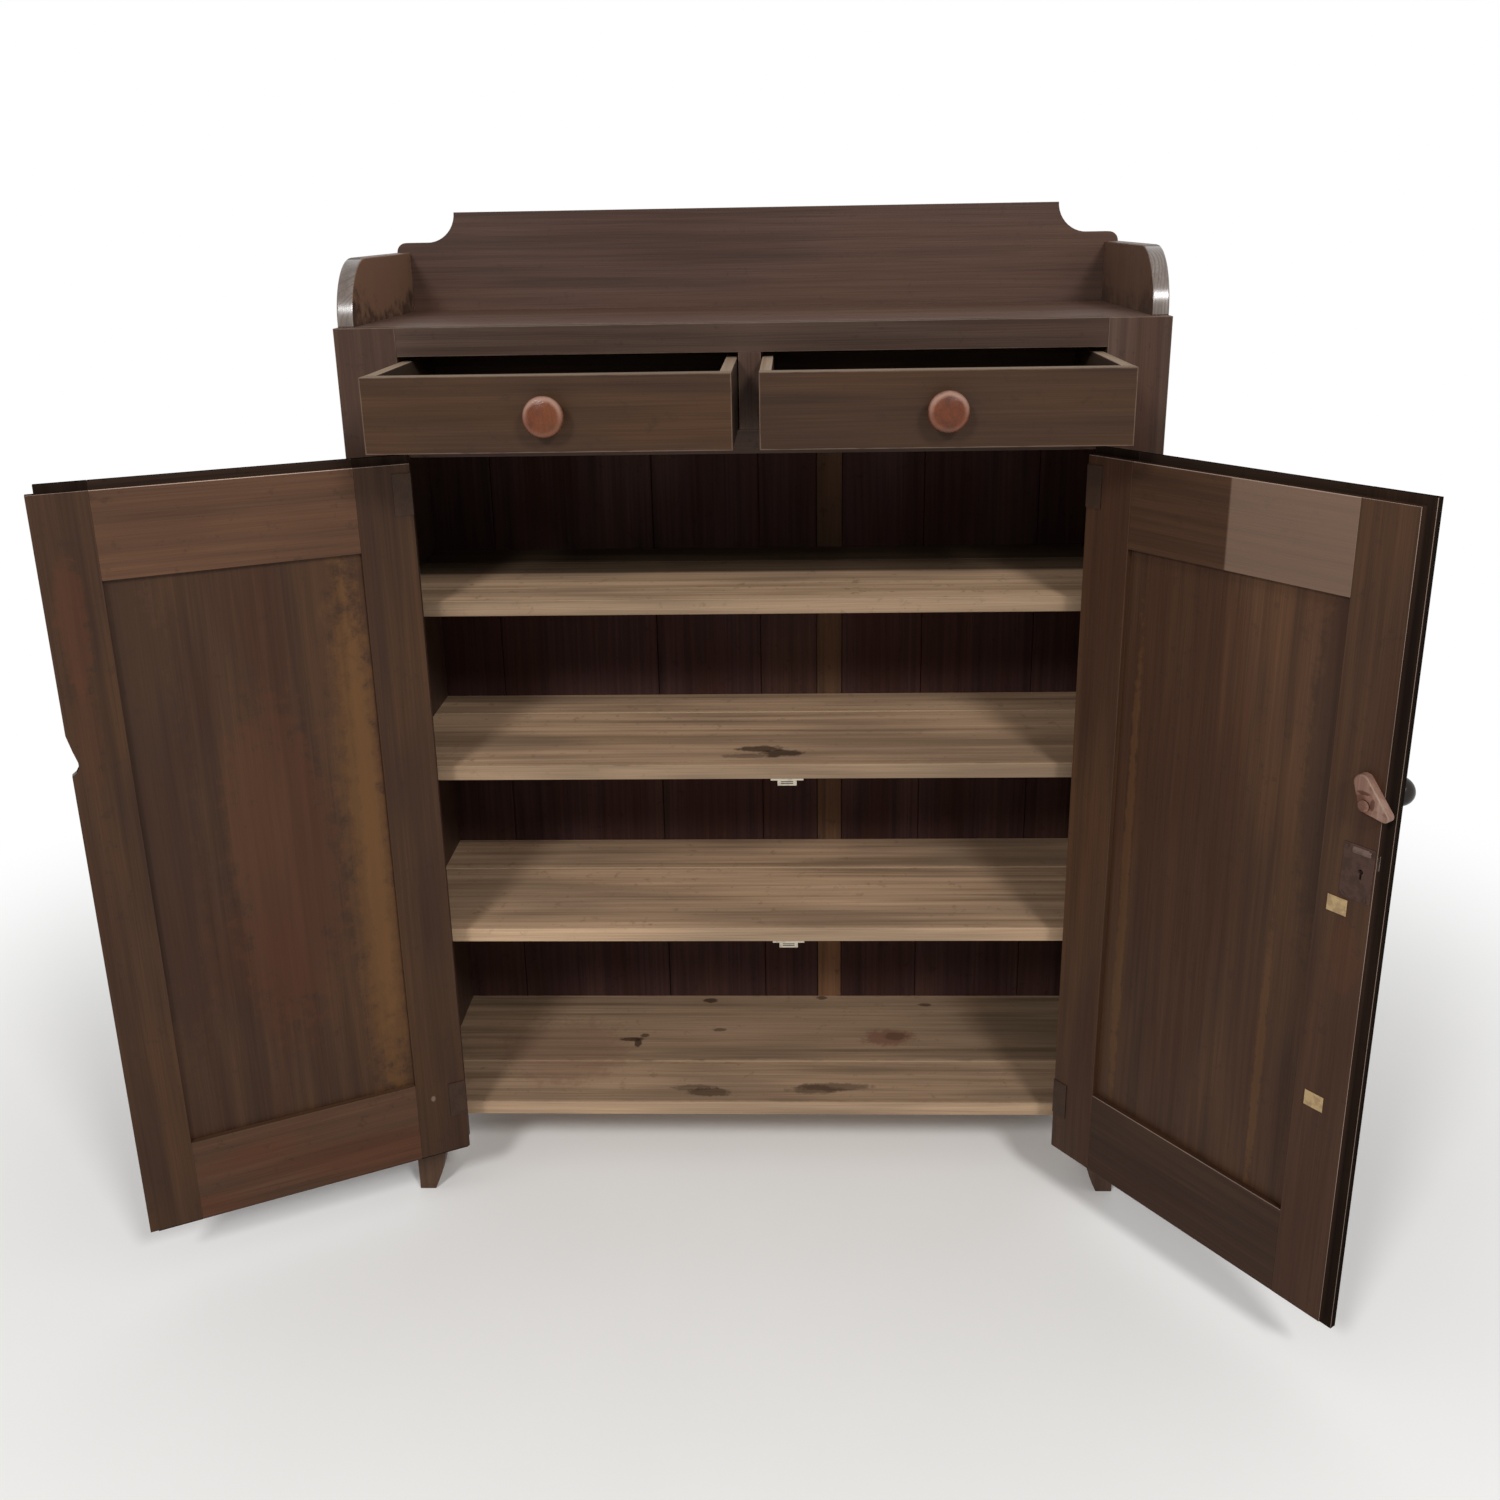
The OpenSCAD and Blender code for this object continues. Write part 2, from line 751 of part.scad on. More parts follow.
// Turned knob with the dowel or spindle behind its seat
module knob(d, l, dowel_r, dowel_l) {
    rotate([90, 0, 0]) rotate_extrude($fn = round_fn) polygon(concat(
        [[0, -dowel_l], [dowel_r, -dowel_l], [dowel_r, 0]],
        [for (p = KNOB) [p[0] * d / 2, p[1] * l]]));
}

module drawer_knob() {
    translate([-knob_x, 0, knob_z]) knob(knob_d, knob_l, dowel_d / 2, front_t - past);
}

module left_drawer_front() {
    in_left_drawer() color(stain) drawer_front();
}

module left_drawer_outer_side() {
    in_left_drawer() color(bare) drawer_outer_side();
}

module left_drawer_inner_side() {
    in_left_drawer() color(bare) drawer_inner_side();
}

module left_drawer_back() {
    in_left_drawer() color(bare) drawer_back();
}

module left_drawer_bottom() {
    in_left_drawer() color(bare) drawer_bottom();
}

module left_drawer_knob() {
    in_left_drawer() color(knob_red) drawer_knob();
}

module right_drawer_front() {
    in_right_drawer() color(stain) drawer_front();
}

module right_drawer_outer_side() {
    in_right_drawer() color(bare) drawer_outer_side();
}

module right_drawer_inner_side() {
    in_right_drawer() color(bare) drawer_inner_side();
}

module right_drawer_back() {
    in_right_drawer() color(bare) drawer_back();
}

module right_drawer_bottom() {
    in_right_drawer() color(bare) drawer_bottom();
}

module right_drawer_knob() {
    in_right_drawer() color(knob_red) drawer_knob();
}

// Doors, from the hinge edge at x = 0 to the free edge at x = door_w. A door's outer layer
// laps over its opening above and below
module door_section() {
    translate([0, door_bottom]) square([lip_t, door_top - door_bottom]);
    translate([0, inner_bottom]) square([door_t, inner_top - inner_bottom]);
}

module panel_groove() {
    box([sight_left - groove, sight_right + groove], panel_y, [sight_low - groove, sight_high + groove]);
}

top_tenon_z = [sight_high + groove, inner_top - tenon_shoulder];
low_tenon_z = [inner_bottom + tenon_shoulder, sight_low - groove];

module door_tenon_pair(z, grow) {
    box([sight_left - door_tenon - grow, sight_right + door_tenon + grow], panel_y, z);
}

module leaf_recesses() {
    for (z = hinge_zs) {
        box([-past, leaf_t], [-past, door_t + past], [z, z + hinge_h]);
        for (s = screw_zs)
            translate([wrap_screw_x, door_t + past, z + s]) rotate([90, 0, 0])
                cylinder(r = screw_r + running, h = screw_l + past, $fn = 24);
    }
}

module door_stile_cuts() {
    panel_groove();
    door_tenon_pair(top_tenon_z, fit);
    door_tenon_pair(low_tenon_z, fit);
}

module hinge_stile() {
    difference() {
        across([0, hinge_stile_w]) door_section();
        door_stile_cuts();
        leaf_recesses();
    }
}

module door_rail(z, tenon_z) {
    difference() {
        union() {
            intersection() {
                across([sight_left, sight_right]) door_section();
                box([0, door_w], [-past, door_t + past], z);
            }
            door_tenon_pair(tenon_z, 0);
        }
        panel_groove();
    }
}

module door_top_rail() {
    door_rail([sight_high, door_top], top_tenon_z);
}

module door_bottom_rail() {
    door_rail([door_bottom, sight_low], low_tenon_z);
}

module door_panel() {
    hold = groove - panel_play;
    box([sight_left - hold, sight_right + hold], panel_y, [sight_low - hold, sight_high + hold]);
}

module bolt_way(x) {
    box(x, bolt_y + [-fit, fit], bolt_zs + [-fit, fit]);
}

// Hollow that the pointer has worn into the left door's edge
module worn_hollow() {
    translate([door_w, 0, hollow_z]) along([-past, door_t + past]) polygon([
        [past, 42], [0, 40], [-hollow_depth * 0.55, 17], [-hollow_depth, 2], [-hollow_depth, -6],
        [-hollow_depth * 0.6, -12], [0, -16], [past, -16]]);
}

module left_meeting_stile() {
    difference() {
        across([sight_right, door_w]) door_section();
        box([door_w - lip, door_w + past], [-past, rebate_y], [door_bottom - past, door_top + past]);
        door_stile_cuts();
        worn_hollow();
        bolt_way([door_w - bolt_throw + meeting_gap - past, door_w + past]);
    }
}

module keyhole(y) {
    half_slot = keyhole_slot / 2;
    translate([keyhole_s, y[1], keyhole_z]) rotate([90, 0, 0])
        cylinder(r = keyhole_r, h = y[1] - y[0], $fn = 32);
    box([keyhole_s - half_slot, keyhole_s + half_slot], y, [keyhole_z - keyhole_drop, keyhole_z]);
}

module spindle_hole(y) {
    translate([latch_s, y[1], latch_z]) rotate([90, 0, 0])
        cylinder(r = spindle_r + running, h = y[1] - y[0], $fn = round_fn);
}

module strike_screw_hole(grow) {
    for (z = strike_zs)
        translate([strike_s, door_t + past, z]) rotate([90, 0, 0])
            cylinder(r = screw_r + grow, h = screw_l + past, $fn = 24);
}

module right_meeting_stile() {
    difference() {
        union() {
            across([sight_right, door_w]) door_section();
            box([door_w - past, door_w + lip_reach], [0, lip_t], [door_bottom, door_top]);
        }
        door_stile_cuts();
        spindle_hole([-past, door_t + past]);
        box(lock_s, [lock_y[0], door_t + past], lock_zs);
        bolt_way([lock_s[1] - past, door_w + past]);
        keyhole([-past, lock_y[0] + past]);
        strike_screw_hole(running);
    }
}

// Hinges. The frame's leaves carry the upper and lower knuckles, the doors' leaves the middle
// one, and the doors' leaves wrap round the edge onto the inner face
module knuckle_barrel(x, z) {
    translate([x, hinge_y, z]) cylinder(r = barrel_r, h = knuckle, $fn = round_fn);
}

module pin_bore(x) {
    for (z = hinge_zs)
        translate([x, hinge_y, z - past]) cylinder(r = pin_bore_r, h = hinge_h + 2 * past, $fn = round_fn);
}

module frame_leaves() {
    plate_x = [-open_x - leaf_t, -open_x];
    difference() {
        for (z = hinge_zs) {
            box(plate_x, [0, frame_leaf_w], [z, z + hinge_h]);
            for (low = [z, z + hinge_h - knuckle]) {
                box(plate_x, [hinge_y, past], [low, low + knuckle]);
                knuckle_barrel(-hinge_x, low);
            }
        }
        pin_bore(-hinge_x);
        for (z = hinge_zs, s = screw_zs)
            translate([-open_x + past, frame_leaf_w / 2, z + s]) rotate([0, -90, 0]) screw(past, running);
    }
}

// A countersunk screw along +Z, its head as far below z = 0 as lead says
module screw(lead, grow) {
    cylinder(r = screw_head_r + grow, h = lead + screw_head_t, $fn = 24);
    cylinder(r = screw_r + grow, h = lead + screw_l, $fn = 24);
}

module frame_screws() {
    for (z = hinge_zs, s = screw_zs)
        translate([-open_x, frame_leaf_w / 2, z + s]) rotate([0, -90, 0]) screw(0, 0);
}

module door_leaves() {
    difference() {
        for (z = hinge_zs) {
            box([0, leaf_t], [0, door_t + leaf_t], [z, z + hinge_h]);
            box([0, wrap_w], [door_t, door_t + leaf_t], [z, z + hinge_h]);
            box([0, leaf_t], [hinge_y, past], [z + (hinge_h - knuckle) / 2, z + (hinge_h + knuckle) / 2]);
            knuckle_barrel(-door_gap / 2, z + (hinge_h - knuckle) / 2);
        }
        pin_bore(-door_gap / 2);
        for (z = hinge_zs, s = screw_zs)
            translate([wrap_screw_x, door_t + leaf_t + past, z + s]) rotate([90, 0, 0])
                screw(past, running);
    }
}

module door_screws() {
    for (z = hinge_zs, s = screw_zs)
        translate([wrap_screw_x, door_t + leaf_t, z + s]) rotate([90, 0, 0]) screw(0, 0);
}

module left_frame_leaves() {
    place() color(iron) frame_leaves();
}

module right_frame_leaves() {
    place() color(iron) mirror([1, 0, 0]) frame_leaves();
}

module frame_hinge_screws() {
    place() color(iron) both_sides() frame_screws();
}

module hinge_pins() {
    place() color(iron) both_sides() for (z = hinge_zs) translate([-hinge_x, hinge_y, z]) {
        cylinder(r = pin_r, h = hinge_h, $fn = round_fn);
        translate([0, 0, hinge_h]) cylinder(r = barrel_r - fit, h = pin_head, $fn = round_fn);
    }
}

module left_door_hinge_stile() {
    in_left_door() color(stain) hinge_stile();
}

module left_door_meeting_stile() {
    in_left_door() color(stain) left_meeting_stile();
}

module left_door_top_rail() {
    in_left_door() color(stain_red) door_top_rail();
}

module left_door_bottom_rail() {
    in_left_door() color(stain_red) door_bottom_rail();
}

module left_door_panel() {
    in_left_door() color(stain) door_panel();
}

module left_door_leaves() {
    in_left_door() color(iron) door_leaves();
}

module left_door_screws() {
    in_left_door() color(iron) door_screws();
}

module right_door_hinge_stile() {
    in_right_door() color(stain) hinge_stile();
}

module right_door_meeting_stile() {
    in_right_door() color(stain) right_meeting_stile();
}

module right_door_top_rail() {
    in_right_door() color(stain_red) door_top_rail();
}

module right_door_bottom_rail() {
    in_right_door() color(stain_red) door_bottom_rail();
}

module right_door_panel() {
    in_right_door() color(stain) door_panel();
}

module right_door_leaves() {
    in_right_door() color(iron) door_leaves();
}

module right_door_screws() {
    in_right_door() color(iron) door_screws();
}

// Turn latch on the right door: a knob outside, its spindle through the stile, and a pointer
// inside whose tip reaches behind the left door
module latch_knob() {
    in_right_door() color(iron) translate([latch_s, -fit, latch_z])
        knob(latch_knob_d, latch_knob_l, spindle_r, pointer_y + pointer_t + 2);
}

// Outward direction of the straight side that touches two round corners
function side_way(p, rp, q, rq) = atan2(q[1] - p[1], q[0] - p[0]) - acos((rp - rq) / norm(q - p));

function round_corner(c, r, from, to) = [
    for (i = [0 : pointer_steps])
        let (a = from + ((to - from + 360) % 360) * i / pointer_steps) c + r * [cos(a), sin(a)]];

module latch_pointer() {
    corners = [[0, 0], [pointer_reach, -pointer_drop], [-pointer_lean, pointer_up]];
    radii = [pointer_hub_r, pointer_tip_r, pointer_hump_r];
    ways = [for (i = [0 : 2]) side_way(corners[i], radii[i], corners[(i + 1) % 3], radii[(i + 1) % 3])];
    outline = [for (i = [0 : 2]) each round_corner(corners[i], radii[i], ways[(i + 2) % 3], ways[i])];
    in_right_door() color(knob_red) difference() {
        translate([latch_s, 0, latch_z]) along([pointer_y, pointer_y + pointer_t]) polygon(outline);
        spindle_hole([pointer_y - past, pointer_y + pointer_t + past]);
    }
}

// Lock let into the right door's meeting stile
module lock_case() {
    in_right_door() color(stain_red) difference() {
        box(lock_s, lock_y, lock_zs);
        bolt_way([door_w - bolt_l - fit, door_w + past]);
        keyhole(lock_y + [-past, past]);
    }
}

module lock_bolt() {
    in_right_door() color(iron) box([door_w - bolt_l, door_w], bolt_y, bolt_zs);
}

module strike_plates() {
    in_right_door() color(brass) for (z = strike_zs) {
        translate([strike_s, door_t + strike_t, z]) rotate([90, 0, 0]) screw(0, 0);
        difference() {
            box([strike_s - strike_w / 2, strike_s + strike_w / 2], [door_t, door_t + strike_t],
                [z - strike_h / 2, z + strike_h / 2]);
            translate([strike_s, door_t + strike_t + past, z]) rotate([90, 0, 0])
                screw(past, running);
        }
    }
}

module magnetic_catches() {
    catch_y = shelf_y + catch_set;
    place() color(off_white) for (z = catch_tops) {
        box([catch_x - catch_w / 2, catch_x + catch_w / 2], [catch_y, catch_y + catch_d], [z - catch_h, z]);
        box([catch_x - catch_ears / 2, catch_x + catch_ears / 2],
            [catch_y, catch_y + catch_d / 2], [z - catch_ear_t, z]);
    }
}

side_left();
side_right();
stile_left();
stile_right();
top_rail();
drawer_divider();
middle_rail();
top_board();
backsplash();
back_boards();
back_filler_strip();
bottom_shelf_front();
bottom_shelf_rear();
lower_shelf_front();
lower_shelf_rear();
middle_shelf_front();
middle_shelf_rear();
upper_shelf_front();
upper_shelf_rear();
runner_left();
runner_centre();
runner_right();
drawer_kickers();
magnetic_catches();
left_frame_leaves();
right_frame_leaves();
frame_hinge_screws();
hinge_pins();
left_drawer_front();
left_drawer_outer_side();
left_drawer_inner_side();
left_drawer_back();
left_drawer_bottom();
left_drawer_knob();
right_drawer_front();
right_drawer_outer_side();
right_drawer_inner_side();
right_drawer_back();
right_drawer_bottom();
right_drawer_knob();
left_door_hinge_stile();
left_door_meeting_stile();
left_door_top_rail();
left_door_bottom_rail();
left_door_panel();
left_door_leaves();
left_door_screws();
right_door_hinge_stile();
right_door_meeting_stile();
right_door_top_rail();
right_door_bottom_rail();
right_door_panel();
right_door_leaves();
right_door_screws();
latch_knob();
latch_pointer();
lock_case();
lock_bolt();
strike_plates();
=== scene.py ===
"""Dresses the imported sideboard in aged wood, iron and brass, and lights it."""

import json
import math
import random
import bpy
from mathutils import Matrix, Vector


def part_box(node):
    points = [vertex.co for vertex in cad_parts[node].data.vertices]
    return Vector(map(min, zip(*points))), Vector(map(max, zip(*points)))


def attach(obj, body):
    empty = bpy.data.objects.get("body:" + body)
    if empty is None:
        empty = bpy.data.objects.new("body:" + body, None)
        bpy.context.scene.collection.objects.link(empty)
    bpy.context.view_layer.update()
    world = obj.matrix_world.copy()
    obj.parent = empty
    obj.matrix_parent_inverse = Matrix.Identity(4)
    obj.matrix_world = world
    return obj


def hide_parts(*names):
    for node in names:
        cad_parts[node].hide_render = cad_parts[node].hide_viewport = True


bl_info = {
    "name": "Aged Sideboard",
    "version": (1, 0, 0),
    "blender": (4, 5, 0),
    "location": "3D View > Sidebar > Sideboard",
    "description": "Dresses the packed sideboard in aged wood, iron and brass, and lights it",
    "category": "Object",
}

import bmesh
import bpy
from mathutils import Matrix, Vector

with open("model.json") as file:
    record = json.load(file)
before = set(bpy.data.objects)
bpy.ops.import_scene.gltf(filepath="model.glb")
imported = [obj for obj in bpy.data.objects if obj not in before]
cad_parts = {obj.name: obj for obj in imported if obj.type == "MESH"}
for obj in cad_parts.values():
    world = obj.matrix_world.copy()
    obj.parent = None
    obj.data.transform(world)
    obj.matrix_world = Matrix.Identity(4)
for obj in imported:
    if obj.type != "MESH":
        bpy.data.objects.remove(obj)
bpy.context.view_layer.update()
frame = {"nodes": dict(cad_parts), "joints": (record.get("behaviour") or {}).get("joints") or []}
NODES = frame["nodes"]


def door_frame(joint_name, closed):
    """A door's own frame: origin on the hinge axis, x as the closed door lies, y inwards."""
    joint = next(joint for joint in frame["joints"] if joint["name"] == joint_name)
    hinge = Vector((joint["pos_m"][0], joint["pos_m"][1], 0))
    turn = -math.radians(joint["range_deg"][closed])
    return Matrix.Translation(hinge) @ Matrix.Rotation(turn, 4, "Z")


# Middle of the face frame's front plane, on the floor
FRAME_LEFT, FRAME_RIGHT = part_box("stile_left")[0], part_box("stile_right")[1]
ORIGIN = Vector(((FRAME_LEFT.x + FRAME_RIGHT.x) / 2, FRAME_LEFT.y, 0))
CASE = Matrix.Translation(ORIGIN)
LEFT_DOOR = door_frame("left_door_swing", 1)
RIGHT_DOOR = door_frame("right_door_swing", 0)
# Each door with its frame and the way its free edge looks along x
DOORS = (("left_door", LEFT_DOOR, 1), ("right_door", RIGHT_DOOR, -1))
DRAWERS = ("left_drawer", "right_drawer")
SHELF_LEVELS = ("bottom", "lower", "middle", "upper")


def rgb(code):
    """Linear colour of a six-digit sRGB code."""
    parts = [int(code[i:i + 2], 16) / 255 for i in (0, 2, 4)]
    return tuple(c / 12.92 if c <= 0.04045 else ((c + 0.055) / 1.055) ** 2.4 for c in parts)


def tint(label, code):
    return bpy.props.FloatVectorProperty(name=label, subtype="COLOR", size=3, min=0, max=1, default=rgb(code))


def length(label, value):
    return bpy.props.FloatProperty(name=label, default=value, min=0, soft_max=0.1, unit="LENGTH", precision=4)


class SideboardSizes(bpy.types.PropertyGroup):
    """Sizes of the finish and of the small fixings."""

    case_ease: length("Rounding of the case's edges", 0.0009)
    door_ease: length("Rounding of the door frames' edges", 0.0008)
    shelf_ease: length("Rounding of the shelves' edges", 0.0016)
    drawer_ease: length("Rounding of the drawers' edges", 0.0011)
    back_ease: length("Rounding of the back boards' edges", 0.0014)
    metal_ease: length("Rounding of plates and of the lock case", 0.0005)
    pointer_ease: length("Width of the facet round the latch's pointer", 0.0036)
    nail_radius: length("Radius of the nail heads in the back", 0.0026)
    nail_inset: length("From a back board's edge to its nails", 0.022)
    screw_radius: length("Radius of the lock's screw heads", 0.0034)
    rib_thickness: length("Thickness of the rib on the lock case", 0.0085)


class SideboardColours(bpy.types.PropertyGroup):
    """Colours of the woods and metals."""

    stain_light: tint("Early wood, stained case", "4a3930")
    stain_dark: tint("Late wood, stained case", "2d201a")
    stain_red: tint("Redder patches of the stain", "52301f")
    stain_gold: tint("Yellower patches of the stain", "54381c")
    gold_strip: tint("Yellower strip down the left door's panel", "6b4a28")
    gallery_light: tint("Early wood, backsplash", "4c3931")
    gallery_dark: tint("Late wood, backsplash", "382926")
    door_light: tint("Early wood, doors", "463022")
    drawer_light: tint("Early wood, drawer fronts", "483325")
    drawer_inside: tint("Darkened wood inside the drawers", "40322a")
    worn: tint("Wood rubbed pale along the edges", "85705f")
    bare_arris: tint("Doors' arrises, rubbed down to the wood", "937d70")
    shelf_light: tint("Early wood, bare shelves", "a68a70")
    shelf_dark: tint("Late wood, bare shelves", "826a51")
    shelf_edge: tint("Rubbed edges of the shelves", "b39679")
    spot: tint("Stains and knots of the shelves", "33241a")
    spot_red: tint("Reddish stains of the shelves", "7d5a49")
    bare_light: tint("Sawn wood of drawer edges and runners", "93806f")
    back_light: tint("Early wood, back boards", "3a2624")
    back_dark: tint("Late wood, back boards", "1d1312")
    filler: tint("Paler strip in the back", "6d4f39")
    # Painted light on the inner faces of the ears
    ear_wood: tint("Paler inner faces of the ears", "80604c")
    # Front edges of the ears, their pale grey a painted reflection
    ear_edge: tint("Rubbed front edges of the ears", "6e655f")
    # Dirt with painted shade, on the doors' edges and on the latch's outside knob
    dirt: tint("Darkened edges of the doors", "1d1511")
    dirt_light: tint("Less darkened edges of the doors", "33261f")
    # Colour of the painted reflection on the right door's top rail
    rail_reflection: tint("Paler length of the right door's top rail", "766559")
    knob: tint("Turned knobs", "5c2c14")
    knob_dark: tint("Late wood, knobs and latch", "3e2419")
    # Rubbed rims of the knobs with their painted highlight, and the worn arrises of the latch
    knob_rim: tint("Rubbed rims of the knobs", "937263")
    latch: tint("Wood of the turn latch", "927365")
    lock: tint("Paint of the lock case", "46322b")
    # Rubbed rib of the lock case, its paleness also a painted highlight
    lock_rubbed: tint("Raised rib of the lock case", "65524a")
    iron: tint("Iron stained over with the doors", "3a291f")
    steel: tint("Steel of the bolt and of worn hinge edges", "4f4a46")
    brass: tint("Brass of the strike plates", "b49a70")
    brass_dull: tint("Tarnish of the strike plates", "8a7050")
    plastic: tint("Plastic of the magnetic catches", "b0a694")
    plastic_dull: tint("Grime on the magnetic catches", "7c6c58")


def sizes():
    return bpy.context.scene.sideboard_sizes


def colours():
    return bpy.context.scene.sideboard_colours


class Web:
    """Adds the nodes of one tree and links them."""

    def __init__(self, tree):
        self.tree = tree

    def add(self, kind, **settings):
        node = self.tree.nodes.new(kind)
        for name, value in settings.items():
            setattr(node, name, value)
        return node

    def feed(self, socket, value):
        if isinstance(value, bpy.types.NodeSocket):
            self.tree.links.new(value, socket)
        elif socket.type == "RGBA" and len(value) == 3:
            socket.default_value = (*value, 1)
        else:
            socket.default_value = value

    def feed_all(self, node, values):
        """Feeds a node's first inputs in order. Returns its outputs."""
        for socket, value in zip(node.inputs, values):
            self.feed(socket, value)
        return node.outputs

    def feed_named(self, sockets, **values):
        for name, value in values.items():
            self.feed(sockets[name.replace("_", " ")], value)

    def math(self, operation, *values):
        return self.feed_all(self.add("ShaderNodeMath", operation=operation), values)[0]

    def times(self, first, second):
        return self.math("MULTIPLY", first, second)

    def vector(self, operation, *values):
        outputs = self.feed_all(self.add("ShaderNodeVectorMath", operation=operation), values)
        return outputs["Value" if operation == "LENGTH" else "Vector"]

    def split(self, vector):
        return self.feed_all(self.add("ShaderNodeSeparateXYZ"), (vector,))

    def radius(self, x, y):
        return self.vector("LENGTH", self.feed_all(self.add("ShaderNodeCombineXYZ"), (x, y, 0))[0])

    def brighten(self, colour, factor):
        node = self.add("ShaderNodeVectorMath", operation="SCALE")
        self.feed_named(node.inputs, Vector=colour, Scale=factor)
        return node.outputs[0]

    def mix(self, factor, first, second):
        """The first colour, covered by the second one as far as the factor says."""
        node = self.add("ShaderNodeMix", data_type="RGBA")
        for index, value in ((0, factor), (6, first), (7, second)):
            self.feed(node.inputs[index], value)
        return node.outputs[2]

    def noise(self, where, scale=1.0, detail=2.0, roughness=0.5, flat=False):
        """Noise in space, or along one number when it is flat."""
        node = self.add("ShaderNodeTexNoise", noise_dimensions="1D" if flat else "3D")
        self.feed(node.inputs["W" if flat else "Vector"], where)
        self.feed_named(node.inputs, Scale=scale, Detail=detail, Roughness=roughness)
        return node.outputs[0]

    def stretched_noise(self, place, across, along, detail=2.0, roughness=0.5):
        """Noise drawn out along z, with that many turns a metre across the grain and along it."""
        drawn = self.vector("MULTIPLY", place, (across, across, along))
        return self.noise(drawn, detail=detail, roughness=roughness)

    def span(self, value, low, high, to_low=0.0, to_high=1.0, smooth=True):
        node = self.add("ShaderNodeMapRange", clamp=True)
        node.interpolation_type = "SMOOTHSTEP" if smooth else "LINEAR"
        return self.feed_all(node, (value, low, high, to_low, to_high))[0]

    def attribute(self, name):
        node = self.add("ShaderNodeAttribute", attribute_type="GEOMETRY", attribute_name=name)
        return node.outputs["Vector"]

    def place(self, matrix):
        """Object coordinates, brought into the frame that the matrix describes."""
        back = matrix.inverted()
        node = self.add("ShaderNodeMapping")
        node.inputs["Location"].default_value = back.to_translation()
        node.inputs["Rotation"].default_value = back.to_euler()
        self.feed(node.inputs["Vector"], self.add("ShaderNodeTexCoord").outputs["Object"])
        return node.outputs[0]

    def group(self, name, **values):
        node = self.add("ShaderNodeGroup")
        node.node_tree = bpy.data.node_groups[name]
        self.feed_named(node.inputs, **values)
        return node.outputs


def new_group(name, inputs, outputs):
    """An empty shader group with its sockets. Returns its web, its inputs and its output node."""
    tree = bpy.data.node_groups.new(name, "ShaderNodeTree")
    for label, kind in inputs:
        tree.interface.new_socket(name=label, in_out="INPUT", socket_type="NodeSocket" + kind)
    for label in outputs:
        tree.interface.new_socket(name=label, in_out="OUTPUT", socket_type="NodeSocketFloat")
    web = Web(tree)
    return web, web.add("NodeGroupInput").outputs, web.add("NodeGroupOutput").inputs


def grain_group():
    """Growth rings round a pith along z, fibres, streaks and patches."""
    web, given, out = new_group("plank grain", [("Place", "Vector"), ("Ring Width", "Float")],
                                ["Rings", "Fibre", "Streak", "Patch"])
    place = given["Place"]
    x, y, z = web.split(place)
    sway = web.times(web.stretched_noise(place, 6, 1.2, detail=1), 0.024)
    radius = web.math("ADD", web.radius(x, y), sway)
    turns = web.math("DIVIDE", web.math("MULTIPLY_ADD", z, 0.012, radius), given["Ring Width"])
    uneven = web.noise(turns, 0.45, detail=0, flat=True)
    phase = web.times(web.math("MULTIPLY_ADD", uneven, 1.6, turns), math.tau)
    wave = web.math("MULTIPLY_ADD", web.math("SINE", phase), 0.5, 0.5)
    web.feed_named(out, Rings=web.math("POWER", wave, 1.7),
                   Fibre=web.stretched_noise(place, 540, 9, detail=1),
                   Streak=web.stretched_noise(place, 62, 1.5, roughness=0.6),
                   Patch=web.stretched_noise(place, 8, 1.9, roughness=0.6))


def arris_group():
    """How near a point of a board is to one of its edges, broken up by noise."""
    web, given, out = new_group(
        "worn arris", [("Centre", "Vector"), ("Half", "Vector"), ("Width", "Float")], ["Mask"])
    dx, dy, dz = web.split(web.vector("SUBTRACT", given["Half"], web.vector("ABSOLUTE", given["Centre"])))
    low, high = web.math("MINIMUM", dx, dy), web.math("MAXIMUM", dx, dy)
    second = web.math("MAXIMUM", low, web.math("MINIMUM", high, dz))
    near = web.span(web.math("DIVIDE", second, given["Width"]), 0.1, 1, 1, 0)
    broken = web.math("SUBTRACT", web.noise(given["Centre"], 23, roughness=0.7), 0.5)
    lifted = web.math("MULTIPLY_ADD", broken, 2.2, near)
    web.feed(out["Mask"], web.times(web.span(lifted, 0.3, 0.95), near))


def spot_group():
    """A patch of the given size round a point, with a ragged edge, for stains and for painted light and
    shade.
    """
    web, given, out = new_group(
        "spot", [("Place", "Vector"), ("Centre", "Vector"), ("Size", "Vector"), ("Ragged", "Float")],
        ["Mask"])
    from_centre = web.vector("SUBTRACT", given["Place"], given["Centre"])
    away = web.vector("LENGTH", web.vector("DIVIDE", from_centre, given["Size"]))
    web.feed(out["Mask"], web.span(web.math("ADD", away, given["Ragged"]), 0.75, 1.25, 1, 0))


# Materials

COAT_ROUGHNESS = 0.22
# Depth of the bump that fibres, worn metal and moulded plastic give, in metres
FIBRE_DEPTH, METAL_DEPTH, PLASTIC_DEPTH = 0.0002, 0.0002, 0.0001
NEARLY_BLACK = (0.006, 0.005, 0.004)


def tints_of(*names):
    return [getattr(colours(), name) for name in names]


def new_material(name):
    material = bpy.data.materials.new(name + "_finish")
    material.use_nodes = True
    web = Web(material.node_tree)
    return material, web, material.node_tree.nodes["Principled BSDF"].inputs


def bump(web, skin, height, depth):
    node = web.add("ShaderNodeBump")
    web.feed_named(node.inputs, Strength=1, Distance=depth, Height=height)
    web.feed(skin["Normal"], node.outputs[0])


